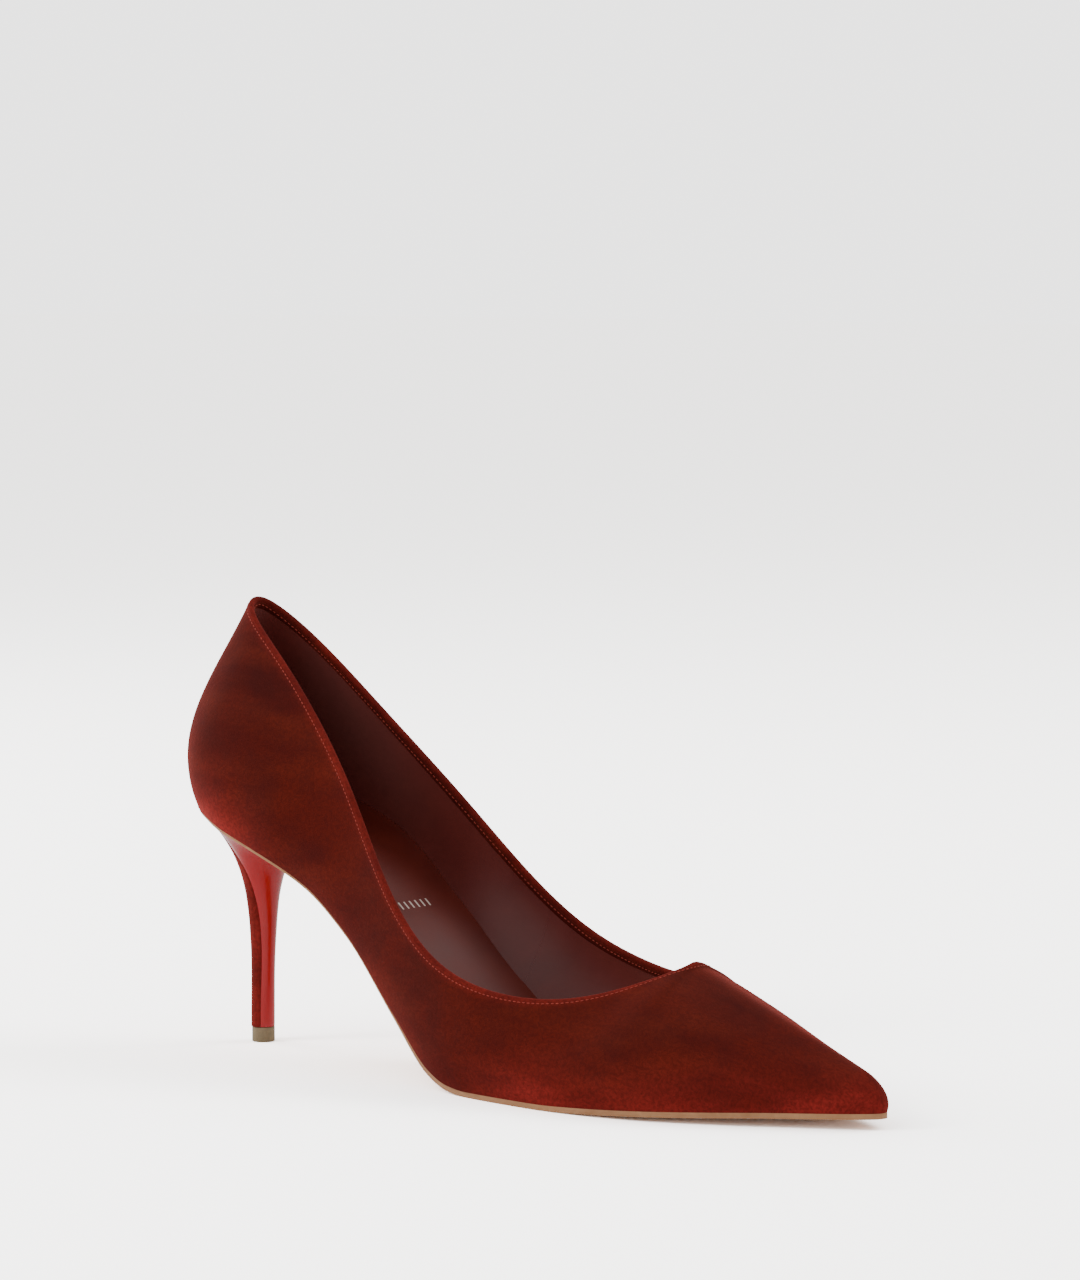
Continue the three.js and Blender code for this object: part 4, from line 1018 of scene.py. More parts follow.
@dataclass
class Wall:
    """Outer face of the upper as one fine grid that goes round the shoe."""

    last: Last
    topline_steps: int = 132
    ridge_steps: int = 56
    toe_steps: int = 22
    rows: int = 40
    crowding: float = 0.05
    ease_reach: float = 15.0
    ease_rounds: int = 26
    rim_rounds: int = 3
    line_rounds: int = 4
    points: np.ndarray = field(init=False)
    index: dict[Side, np.ndarray] = field(init=False)

    def __post_init__(self) -> None:
        """Lays out the grid and eases it over the ridge of the vamp."""
        count = len(self.stations)
        taken, points, self.index = 0, [], {}
        for side in Side:
            grid = self.last.wall(side, self.stations, self.shares)
            index = np.arange(count * (self.rows + 1)).reshape(count, -1) + taken
            tip = self.throat_row + self.ridge_steps
            index[tip:, -1] = index[tip, -1]
            if side is Side.MEDIAL:
                other = self.index[Side.LATERAL]
                index[0], index[-1] = other[0], other[-1]
                index[self.throat_row:, -1] = other[self.throat_row:, -1]
            self.index[side] = index
            points.append(grid.reshape(-1, 3))
            taken += count * (self.rows + 1)
        self.points = np.vstack(points)
        ridge = self.index[Side.LATERAL][self.throat_row:, -1]
        reach = np.full(len(self.points), np.inf)
        for vertex in ridge:
            gap = np.linalg.norm(self.points - self.points[vertex], axis=1)
            reach = np.minimum(reach, gap)
        weight = 1 - smoothstep(reach, 0.3 * self.ease_reach, self.ease_reach)
        fixed = [self.index[side][: self.throat_row + 1, -1] for side in Side]
        fixed += [self.index[side][:, 0] for side in Side]
        weight[np.concatenate(fixed)] = 0
        self.points = relaxed(self.points, self.faces(), weight, self.ease_rounds)

    @cached_property
    def stations(self) -> np.ndarray:
        """Stations of the wall lines, closer together towards the throat."""
        share = np.arange(self.topline_steps) / self.topline_steps
        opening = (share + self.crowding * np.sin(np.pi * share)) * self.last.throat
        ridge = np.linspace(self.last.throat, self.last.ridge_end, self.ridge_steps, endpoint=False)
        toe = np.linspace(self.last.ridge_end, 1, self.toe_steps + 1)
        return np.concatenate([opening, ridge, toe])

    @cached_property
    def shares(self) -> np.ndarray:
        """Shares of the way up a wall line."""
        return np.linspace(0, 1, self.rows + 1)

    @property
    def throat_row(self) -> int:
        """Number of the wall line at the throat."""
        return self.topline_steps

    def at(self, share: float) -> int:
        """Number of the wall line nearest to a share of the length."""
        return int(np.argmin(np.abs(self.stations - station_of(share))))

    def faces(self, spans: Sequence[Span] | None = None) -> Faces:
        """Faces of a part of the grid.

        Args:
            spans: Side, first and last line, first and last row of each part, or none for all.

        Returns:
            The faces, facing outwards.
        """
        last = len(self.stations) - 1
        spans = spans or [(side, 0, last, 0, self.rows) for side in Side]
        faces = []
        for side, start, end, low, high in spans:
            part = self.index[side][start: end + 1, low: high + 1]
            faces += grid_faces(part, flip=side is Side.MEDIAL)
        return faces

    @cached_property
    def normals(self) -> np.ndarray:
        """Outward normals of the grid's points."""
        return Solid(self.points, self.faces()).normals()

    def inside(self, depth: float | np.ndarray) -> np.ndarray:
        """The grid's points at a depth under the outer face."""
        return self.points - self.normals * np.asarray(depth)[..., None]

    @cached_property
    def rim(self) -> np.ndarray:
        """Point numbers round the topline: outer side forwards, inner side back."""
        outer = self.index[Side.LATERAL][: self.throat_row + 1, -1]
        inner = self.index[Side.MEDIAL][1: self.throat_row, -1][::-1]
        return np.concatenate([outer, inner])

    @cached_property
    def rim_frame(self) -> tuple[np.ndarray, np.ndarray, np.ndarray]:
        """Points of the topline, their outward normals, and their directions off the edge."""
        point = self.points[self.rim]
        normal = softened(self.normals[self.rim], self.rim_rounds)
        run = unit(np.roll(point, -1, 0) - np.roll(point, 1, 0))
        off = unit(np.cross(normal, run))
        return point, unit(np.cross(run, off)), off

    @cached_property
    def tree(self) -> BVHTree:
        """Search tree of the outer face."""
        return BVHTree.FromPolygons(self.points.tolist(), self.faces())

    def below_rim(self, drop: float, depth: float) -> np.ndarray:
        """Line round the topline, a drop below its edge along the wall, and a depth inside it."""
        point, normal, off = self.rim_frame
        found = [self.tree.find_nearest(Vector(p)) for p in point - off * drop]
        spot = np.array([hit[0] for hit in found])
        near = softened(np.array([hit[1] for hit in found]), self.line_rounds)
        near *= np.sign(np.sum(near * normal, 1, keepdims=True))
        return spot - near * depth


@dataclass
class Upper:
    """Suede upper with its backers, linings, facing band and stitches."""

    wall: Wall
    bench: Workbench
    palette: Palette
    suede: float = 0.9
    # Reach of the painted sheen highlight up from the feather line, and its strength along the
    # topline fold and roll.
    painted_sheen_reach: float = 9.0
    edge_painted_sheen: float = 0.35
    edge_radius: float = 0.95
    edge_steps: int = 10
    edge_leg: float = 0.8
    backer: float = 0.35
    lining: float = 0.6
    clear: float = 0.03
    top_clear: float = 1.3
    band_depth: float = 2.5
    band: float = 0.3
    stitch_drop: float = 0.75
    stitch_pitch: float = 1.45
    stitch_length: float = 1.0
    stitch_radius: float = 0.17
    seam_gap: float = 0.015
    needle_sink: float = 0.02
    bobbin_drop: float = 0.35
    bobbin_proud: float = 0.05
    band_bevel: float = 0.12
    band_drops: tuple[float, ...] = (0.15, 0.25, 0.35, 0.5, 0.65, 0.82, 1.0)
    band_proud: tuple[float, ...] = (-0.12, 0.0, 0.02, 0.02, 0.01, -0.04)
    band_edge: float = 0.03
    seam_share: float = 0.4
    hem_row: int = 2
    tape_rows: int = 5
    counter_drop: int = 12
    vamp_lines: int = 8
    puff_share: float = 0.93
    counter_ends: tuple[float, float] = (0.27, 0.33)

    def build(self) -> None:
        """Makes every piece of the upper."""
        self.skin()
        self.backers()
        self.linings()
        self.facing()
        self.stitches()

    @property
    def backer_depth(self) -> float:
        """Depth of the backers' outer face."""
        return self.suede + self.clear

    @property
    def lining_depth(self) -> float:
        """Depth of the linings' outer face."""
        return self.backer_depth + self.backer + self.clear

    @property
    def inner_depth(self) -> float:
        """Depth of the linings' inner face."""
        return self.lining_depth + self.lining

    def skin(self) -> None:
        """Suede from the margin under the boards up over the rolled topline."""
        wall, last = self.wall, self.wall.last
        outer = [wall.points]
        inner_points = wall.inside(self.suede)
        faces = wall.faces()
        count = len(wall.points)
        extra_inner = []
        for side in Side:
            feather = wall.index[side][:, 0]
            station = wall.stations
            inward, normal = last.inward(side, station), last.normal(station)
            lean = np.tan(np.radians(last.flare_angle(station)))[:, None]
            edge = last.edge(side, station)
            corner = inward * self.suede * (1 - lean / 2)
            inner_points[feather] = edge + corner + normal * self.suede
            hem = edge + inward * last.hem_width(station)[:, None]
            index = np.arange(len(hem)) + count
            if side is Side.LATERAL:
                first = index
            else:
                index[0], index[-1] = first[0], first[-1]
            faces += grid_faces(np.stack([index, feather], 1), flip=side is Side.MEDIAL)
            outer.append(hem)
            extra_inner.append(hem + normal * self.suede)
            count += len(hem)
        rolled, rolled_inner, roll_faces = self.roll(count)
        points = np.vstack([*outer, rolled])
        inside = np.vstack([inner_points, *extra_inner, rolled_inner])
        # The hem and the rolled topline edge take the painted sheen highlight at its topline
        # strength.
        painted_sheen = np.full(len(points), self.edge_painted_sheen)
        painted_sheen[: len(wall.points)] = self.painted_sheen()
        solid = shell(faces + roll_faces, points, inside, painted_sheen)
        self.bench.piece("suede_upper_skin", solid, self.palette.suede, ["suede_upper"], crease=50)

    def painted_sheen(self) -> np.ndarray:
        """Share of painted sheen highlight on the wall: near the feather line and along the
        topline.
        """
        wall, last = self.wall, self.wall.last
        painted_sheen = np.zeros(len(wall.points))
        # Painted sheen highlight along the shoe: full at the heel and from the ball to the toe,
        # faint in the waist.
        knots = [
            (0, 1), (0.1, 1), (0.22, 0.1), (0.5, 0.15), (0.62, 1), (0.7, 0.55), (0.85, 0.8), (1, 1),
        ]
        sheen_along = along(knots, flat_ends=True, monotone=True)(wall.stations)
        for side in Side:
            grid = wall.points[wall.index[side]]
            low = np.linalg.norm(grid - grid[:, :1], axis=-1)
            high = np.linalg.norm(grid - grid[:, -1:], axis=-1)
            opening = (wall.stations <= last.throat)[:, None]
            feather_sheen = sheen_along[:, None] * np.exp(-((low / self.painted_sheen_reach) ** 1.5))
            folded = opening * self.edge_painted_sheen * np.exp(-((high / self.stitch_drop / 2) ** 2))
            painted_sheen[wall.index[side]] = np.maximum(feather_sheen, folded)
        return painted_sheen

    def roll(self, taken: int) -> tuple[np.ndarray, np.ndarray, Faces]:
        """Folded edge of the topline, on from the wall's top row.

        Args:
            taken: Count of points that come before it.

        Returns:
            Outer points, inner points and faces.
        """
        point, normal, off = self.wall.rim_frame
        centre = point - normal * self.edge_radius
        rows_out, rows_in = [], []
        for angle in np.linspace(0, np.pi, self.edge_steps + 1)[1:]:
            turn = normal * np.cos(angle) + off * np.sin(angle)
            rows_out.append(centre + turn * self.edge_radius)
            rows_in.append(centre + turn * (self.edge_radius - self.suede))
        for drop in (self.edge_leg / 2, self.edge_leg):
            rows_out.append(centre - normal * self.edge_radius - off * drop)
            rows_in.append(centre - normal * (self.edge_radius - self.suede) - off * drop)
        count = len(point)
        index = [self.wall.rim]
        index += [np.arange(count) + taken + k * count for k in range(len(rows_out))]
        ring = np.array(index).T
        ring = np.vstack([ring, ring[:1]])
        return np.vstack(rows_out), np.vstack(rows_in), grid_faces(ring)

    def layer(self, spans: Sequence[Span], depth: float, thickness: float) -> Solid:
        """Layer of the wall between two depths."""
        wall = self.wall
        return shell(wall.faces(spans), wall.inside(depth), wall.inside(depth + thickness))

    def backers(self) -> None:
        """Heel counter, toe puff, vamp backer and topline tape, between suede and lining."""
        wall = self.wall
        toe = len(wall.stations) - 1
        low, band, top = self.hem_row, wall.rows - self.tape_rows, wall.rows - 1
        counter_top = wall.rows - self.counter_drop
        puff = wall.at(self.puff_share)
        ends = {side: wall.at(share) for side, share in zip(Side, self.counter_ends)}
        beyond = wall.throat_row + self.vamp_lines
        pieces = {
            "heel_counter": [(side, 0, ends[side], low, counter_top) for side in Side],
            "toe_puff": [(side, puff, toe, low, wall.rows) for side in Side],
            "vamp_backer": [(side, ends[side] + 1, beyond, low, band - 1) for side in Side]
            + [(side, beyond, puff - 1, low, wall.rows) for side in Side],
            "topline_tape": [(side, 0, wall.throat_row, band, top) for side in Side],
        }
        for name, spans in pieces.items():
            solid = self.layer(spans, self.backer_depth, self.backer)
            self.bench.piece(f"{name}_cloth", solid, self.palette.backer, [name])

    def linings(self) -> None:
        """Quarter and vamp linings, which meet at a seam on each side of the waist."""
        wall = self.wall
        seam, toe = wall.at(self.seam_share), len(wall.stations) - 1
        outer, inner = wall.inside(self.lining_depth), wall.inside(self.inner_depth)
        *_, off = wall.rim_frame
        for sheet in (outer, inner):
            sheet[wall.rim] -= off * self.top_clear
        for name, start, end, towards in (
            ("quarter_lining", 0, seam, -1), ("vamp_lining", seam, toe, 1),
        ):
            front, back = outer.copy(), inner.copy()
            for side in Side:
                here, there = wall.index[side][seam], wall.index[side][seam + towards]
                for sheet in (front, back):
                    step = unit(sheet[there] - sheet[here])
                    sheet[here] = sheet[here] + step * self.seam_gap
            faces = wall.faces([(side, start, end, 1, wall.rows) for side in Side])
            self.bench.piece(f"{name}_leather", shell(faces, front, back), self.palette.lining,
                             [name], crease=60)

    def facing(self) -> None:
        """Suede band inside the topline, tucked under the folded edge."""
        start = self.inner_depth + self.clear
        drops = self.band_depth * np.array(self.band_drops)
        proud = [*self.band_proud, self.band_edge - self.band]
        back = [self.wall.below_rim(drop, start) for drop in drops]
        front = [
            self.wall.below_rim(drop, start + self.band + rise) for drop, rise in zip(drops, proud)
        ]
        count = len(back[0])
        index = np.array([np.arange(count) + k * count for k in range(len(drops))]).T
        ring = np.vstack([index, index[:1]])
        solid = shell(grid_faces(ring), np.vstack(front), np.vstack(back))
        self.bench.piece("topline_facing", solid, self.palette.suede, ["topline_binding"],
                         crease=60, bevel=self.band_bevel)

    def stitches(self) -> None:
        """Stitches round the topline, on the suede and along the facing band."""
        face = self.inner_depth + self.clear + self.band
        rows = {
            "needle_stitches": ("needle_thread", self.stitch_drop, -self.needle_sink),
            "bobbin_stitches": (
                "bobbin_thread", self.stitch_drop + self.bobbin_drop, face + self.bobbin_proud,
            ),
        }
        for name, (node, drop, depth) in rows.items():
            line = self.wall.below_rim(drop, depth)
            stitch = StitchRow(name, self.stitch_pitch, self.stitch_length, self.stitch_radius)
            stitch.build(self.bench, line, self.palette.thread, node)


@dataclass(frozen=True)
class StitchRow:
    """Row of separate stitches along a closed line, laid out by geometry nodes."""

    name: str
    pitch: float
    length: float
    radius: float
    sides: int = 8
    rings: int = 6

    def tree(self) -> bpy.types.NodeTree:
        """Geometry node tree that sets the stitches."""
        found = bpy.data.node_groups.get("stitch_row")
        if found:
            return found
        tree = bpy.data.node_groups.new("stitch_row", "GeometryNodeTree")
        face = tree.interface
        face.new_socket("Line", in_out="INPUT", socket_type="NodeSocketGeometry")
        for name in ("Pitch", "Length", "Radius"):
            face.new_socket(name, in_out="INPUT", socket_type="NodeSocketFloat")
        face.new_socket("Material", in_out="INPUT", socket_type="NodeSocketMaterial")
        face.new_socket("Stitches", in_out="OUTPUT", socket_type="NodeSocketGeometry")
        sketch = Sketch(tree)
        start = sketch.add("NodeGroupInput")
        bead = sketch.add("GeometryNodeMeshUVSphere", in_Segments=self.sides, in_Rings=self.rings,
                          in_Radius=1.0)
        spots = sketch.add("GeometryNodeCurveToPoints", mode="LENGTH",
                           in_Curve=start.outputs["Line"], in_Length=start.outputs["Pitch"])
        turn = sketch.add("FunctionNodeAlignRotationToVector", axis="Z",
                          in_Vector=spots.outputs["Tangent"])
        half = sketch.maths("MULTIPLY", start.outputs["Length"], 0.5)
        thick = start.outputs["Radius"]
        size = sketch.add("ShaderNodeCombineXYZ", in_0=thick, in_1=thick, in_2=half)
        placed = sketch.add("GeometryNodeInstanceOnPoints", in_Points=spots.outputs["Points"],
                            in_Instance=bead.outputs["Mesh"], in_Rotation=turn.outputs[0],
                            in_Scale=size.outputs[0])
        real = sketch.add("GeometryNodeRealizeInstances", in_0=placed.outputs[0])
        smooth = sketch.add("GeometryNodeSetShadeSmooth", in_0=real.outputs[0])
        dressed = sketch.add("GeometryNodeSetMaterial", in_Geometry=smooth.outputs[0],
                             in_Material=start.outputs["Material"])
        end = sketch.add("NodeGroupOutput")
        tree.links.new(dressed.outputs[0], end.inputs[0])
        return tree

    def build(self, bench: Workbench, line: np.ndarray, finish: Finish, node: str) -> None:
        """Sets the stitches along a line and makes them one mesh.

        Args:
            bench: Workbench that places the piece.
            line: Closed line of points, in shoe millimetres.
            finish: Finish of the thread.
            node: CAD node that the row stands for.
        """
        curve = bpy.data.curves.new(f"{self.name}_line", "CURVE")
        curve.dimensions = "3D"
        spline = curve.splines.new("POLY")
        spline.points.add(len(line) - 1)
        flat = np.column_stack([bench.placed(line), np.ones(len(line))])
        spline.points.foreach_set("co", flat.ravel())
        spline.use_cyclic_u = True
        guide = added(f"{self.name}_line", curve)
        rule = guide.modifiers.new("stitch_row", "NODES")
        rule.node_group = self.tree()
        sizes = {"Pitch": self.pitch * MM, "Length": self.length * MM, "Radius": self.radius * MM,
                 "Material": finish.material()}
        for item in rule.node_group.interface.items_tree:
            if item.in_out == "INPUT" and item.name in sizes:
                rule[item.identifier] = sizes[item.name]
        mesh = evaluated(guide, self.name)
        bpy.data.objects.remove(guide)
        bpy.data.curves.remove(curve)
        bench.tie(added(self.name, mesh), finish, [node])


# ------------------------------------------------------------------ the bottom


@dataclass
class Bottom:
    """Outsole, boards, filler, shank, pads and sock."""

    wall: Wall
    bench: Workbench
    palette: Palette
    inner_depth: float
    across: int = 24
    board_clear: float = 0.25
    margin_top: float = 1.05
    shank_board: float = 1.8
    insole: float = 1.5
    heel_foam: float = 2.9
    forepart_foam: float = 1.9
    sock: float = 0.9
    sock_clear: float = 0.04
    clear: float = 0.05
    sole_round: float = 0.35
    shank_half: float = 5.5
    shank: float = 1.0
    rib_half: float = 1.6
    rib: float = 0.8
    rib_fade: tuple[float, float] = (6.0, 16.0)
    shank_span: tuple[float, float] = (0.05, 0.5)
    shank_tip: float = 0.02
    shank_bevel: float = 0.15
    shank_board_end: float = 0.45
    board_bevel: float = 0.2
    filler_gap: float = 0.2
    filler_span: tuple[float, float] = (0.52, 0.975)
    pad_inset: float = 1.5
    pad_bevel: float = 0.3
    least_foam: float = 0.1
    cup: float = 0.5
    cup_power: int = 5
    curl: float = 0.3
    sock_bevel: float = 0.25

    def build(self) -> None:
        """Makes every piece of the bottom."""
        self.outsole()
        self.boards()
        self.pads()
        self.sock_lining()

    def curve(self, knots: Sequence[tuple[float, float]]) -> np.ndarray:
        """Values at every station of a level curve through knots."""
        return along(knots, flat_ends=True, monotone=True)(self.wall.stations)

    @cached_property
    def insole_low(self) -> np.ndarray:
        """Level of the insole's underside at every station."""
        rear = self.curve([(0, 1), (0.4, 1), (0.53, 0), (1, 0)])
        return self.margin_top + self.clear + rear * (self.shank_board + self.clear)

    @cached_property
    def foam(self) -> np.ndarray:
        """Thickness of the foam over the insole at every station."""
        rear = self.curve([(0, 1), (0.2, 1), (0.3, 0), (1, 0)])
        front = self.curve([(0, 0), (0.53, 0), (0.6, 1), (0.74, 1), (0.82, 0), (1, 0)])
        return rear * self.heel_foam + front * self.forepart_foam

    @cached_property
    def sock_low(self) -> np.ndarray:
        """Level of the sock's underside at every station."""
        return self.insole_low + self.insole + self.clear + self.foam

    def reach(self, side: Side, level: np.ndarray, depth: float) -> np.ndarray:
        """How far in from the feather line the wall's inner face is, at a level.

        Args:
            side: Side of the foot.
            level: Level over the feather line at each station.
            depth: Depth under the wall's outer face.

        Returns:
            Distances at each station.
        """
        wall, last = self.wall, self.wall.last
        feather = last.edge(side, wall.stations)
        normal, inward = last.normal(wall.stations), last.inward(side, wall.stations)
        grid = wall.inside(depth)[wall.index[side]]
        away = grid - feather[:, None, :]
        heights = np.einsum("ijk,ik->ij", away, normal)
        inwards = np.einsum("ijk,ik->ij", away, inward) / np.sum(inward**2, 1)[:, None]
        crests = np.argmax(heights, 1) + 1
        return np.array([
            np.interp(at, high[:crest], inside[:crest])
            for at, high, inside, crest in zip(level, heights, inwards, crests)
        ])

    def plate(self, start: int, end: int, low: np.ndarray, high: np.ndarray,
              inset: dict[Side, np.ndarray], cup: float = 0.0) -> Solid:
        """Plate that follows the bottom of the foot.

        Args:
            start: Number of its first wall line.
            end: Number of its last wall line.
            low: Level of its underside at every station.
            high: Level of its upper side at every station.
            inset: How far in from the feather line its edge is, on each side.
            cup: How far its edges rise over its middle.

        Returns:
            The closed plate.
        """
        wall, last = self.wall, self.wall.last
        station = wall.stations[start: end + 1]
        share = (1 - np.cos(np.linspace(0, np.pi, self.across + 1))) / 2
        rise = cup * np.abs(2 * share - 1) ** self.cup_power
        faces_of = []
        for level in (high[start: end + 1], low[start: end + 1]):
            sides = [
                last.edge(side, station, level)
                + last.inward(side, station) * inset[side][start: end + 1, None]
                for side in Side
            ]
            rows = mix(sides[0][:, None, :], sides[1][:, None, :], share[None, :, None])
            rows = rows + last.normal(station)[:, None, :] * rise[None, :, None]
            faces_of.append(rows.reshape(-1, 3))
        index = np.arange(len(faces_of[0])).reshape(len(station), -1)
        for row, closed in ((0, start == 0), (-1, end == len(wall.stations) - 1)):
            if closed:
                index[row] = index[row, 0]
        return shell(grid_faces(index), faces_of[0], faces_of[1])

    def even(self, value: float | np.ndarray) -> dict[Side, np.ndarray]:
        """The same inset on both sides."""
        return {side: np.full(len(self.wall.stations), 1.0) * value for side in Side}

    def outsole(self) -> None:
        """Thin leather outsole, drawn in at the waist and under the back of the seat."""
        station = self.wall.stations
        inset = self.curve([
            (0, 0.85), (0.05, 0.85), (0.1, 0.45), (0.2, 0.5), (0.35, 1.1), (0.5, 0.35), (0.6, 0),
            (1, 0),
        ])
        under = -self.wall.last.cement - self.wall.last.sole_thickness(station)
        over = np.full(len(station), -self.wall.last.cement)
        solid = self.plate(0, len(station) - 1, under, over, self.even(inset))
        self.bench.piece("leather_outsole", solid, self.palette.sole, ["outsole"], crease=40,
                         bevel=self.sole_round)

    def boards(self) -> None:
        """Shank board, insole board, filler and the ribbed steel shank."""
        wall = self.wall
        toe = len(wall.stations) - 1
        zero = np.zeros(len(wall.stations))
        depth = self.inner_depth + self.board_clear
        low = zero + self.margin_top
        high = self.insole_low - self.clear
        for name, node, end, low, high in (
            ("shank_board_fibre", "shank_board", wall.at(self.shank_board_end), low, high),
            ("insole_board_fibre", "insole_board", toe, self.insole_low,
             self.insole_low + self.insole),
        ):
            inset = {side: self.reach(side, (low + high) / 2, depth) for side in Side}
            solid = self.plate(0, end, low, high, inset)
            self.bench.piece(name, solid, self.palette.board, [node], bevel=self.board_bevel)
        margin = wall.last.hem_width(wall.stations) + self.filler_gap
        start, stop = (wall.at(share) for share in self.filler_span)
        top = zero + self.margin_top - self.clear
        solid = self.plate(start, stop, zero, top, self.even(margin))
        self.bench.piece("cork_bottom_filler", solid, self.palette.cork, ["bottom_filler"],
                         bevel=self.board_bevel)
        self.steel_shank()

    def steel_shank(self) -> None:
        """Spring steel shank with rounded ends and a pressed rib along its middle."""
        wall, last = self.wall, self.wall.last
        start, stop = (wall.at(share) for share in self.shank_span)
        station = wall.stations[start: stop + 1]
        middle = mix(last.edge(Side.LATERAL, station), last.edge(Side.MEDIAL, station), 0.5)
        across = unit(last.edge(Side.MEDIAL, station) - last.edge(Side.LATERAL, station))
        normal = last.normal(station)
        run = np.concatenate([[0], np.cumsum(np.linalg.norm(np.diff(middle, axis=0), axis=1))])
        left = np.minimum(run, run[-1] - run)
        round_end = 1 - np.clip(left / self.shank_half, self.shank_tip, 1)
        half = self.shank_half * np.sqrt(1 - round_end**2)
        spread = np.linspace(-1, 1, self.across + 1)
        offset = half[:, None] * spread[None, :]
        fade = smoothstep(left, *self.rib_fade)[:, None]
        lift = self.rib * fade * np.exp(-((offset / self.rib_half) ** 2))
        sheets = []
        for level in (self.shank, 0.0):
            rows = middle[:, None, :] + across[:, None, :] * offset[..., None]
            rows = rows + normal[:, None, :] * (level + lift)[..., None]
            sheets.append(rows.reshape(-1, 3))
        index = np.arange(len(sheets[0])).reshape(len(station), -1)
        solid = shell(grid_faces(index), sheets[0], sheets[1])
        self.bench.piece("ribbed_steel_shank", solid, self.palette.steel, ["steel_shank"],
                         bevel=self.shank_bevel)

    def pads(self) -> None:
        """Foam pads under the heel and the ball, which thin out to nothing at their edges."""
        wall = self.wall
        depth = self.inner_depth + self.board_clear + self.pad_inset
        low = self.insole_low + self.insole + self.clear
        for name, node, span in (
            ("heel_foam_pad", "heel_pad", (0.0, 0.292)),
            ("forepart_foam_pad", "forepart_pad", (0.54, 0.81)),
        ):
            start, stop = wall.at(span[0]), wall.at(span[1])
            high = low + np.maximum(self.foam - self.clear, self.least_foam)
            inset = {side: self.reach(side, low, depth) for side in Side}
            solid = self.plate(start, stop, low, high, inset)
            pad = self.bench.piece(name, solid, self.palette.foam, [node], bevel=self.pad_bevel)

    def sock_lining(self) -> None:
        """Sock that covers the insole and curls up a little where it meets the lining."""
        wall = self.wall
        low, high = self.sock_low, self.sock_low + self.sock
        depth = self.inner_depth + self.sock_clear
        inset = {side: self.reach(side, high + self.curl, depth) for side in Side}
        solid = self.plate(0, len(wall.stations) - 1, low, high, inset, cup=self.cup)
        self.bench.piece("sock_lining_leather", solid, self.palette.sock, ["sock_lining"],
                         crease=45, bevel=self.sock_bevel)


# ------------------------------------------------------------------ the heel


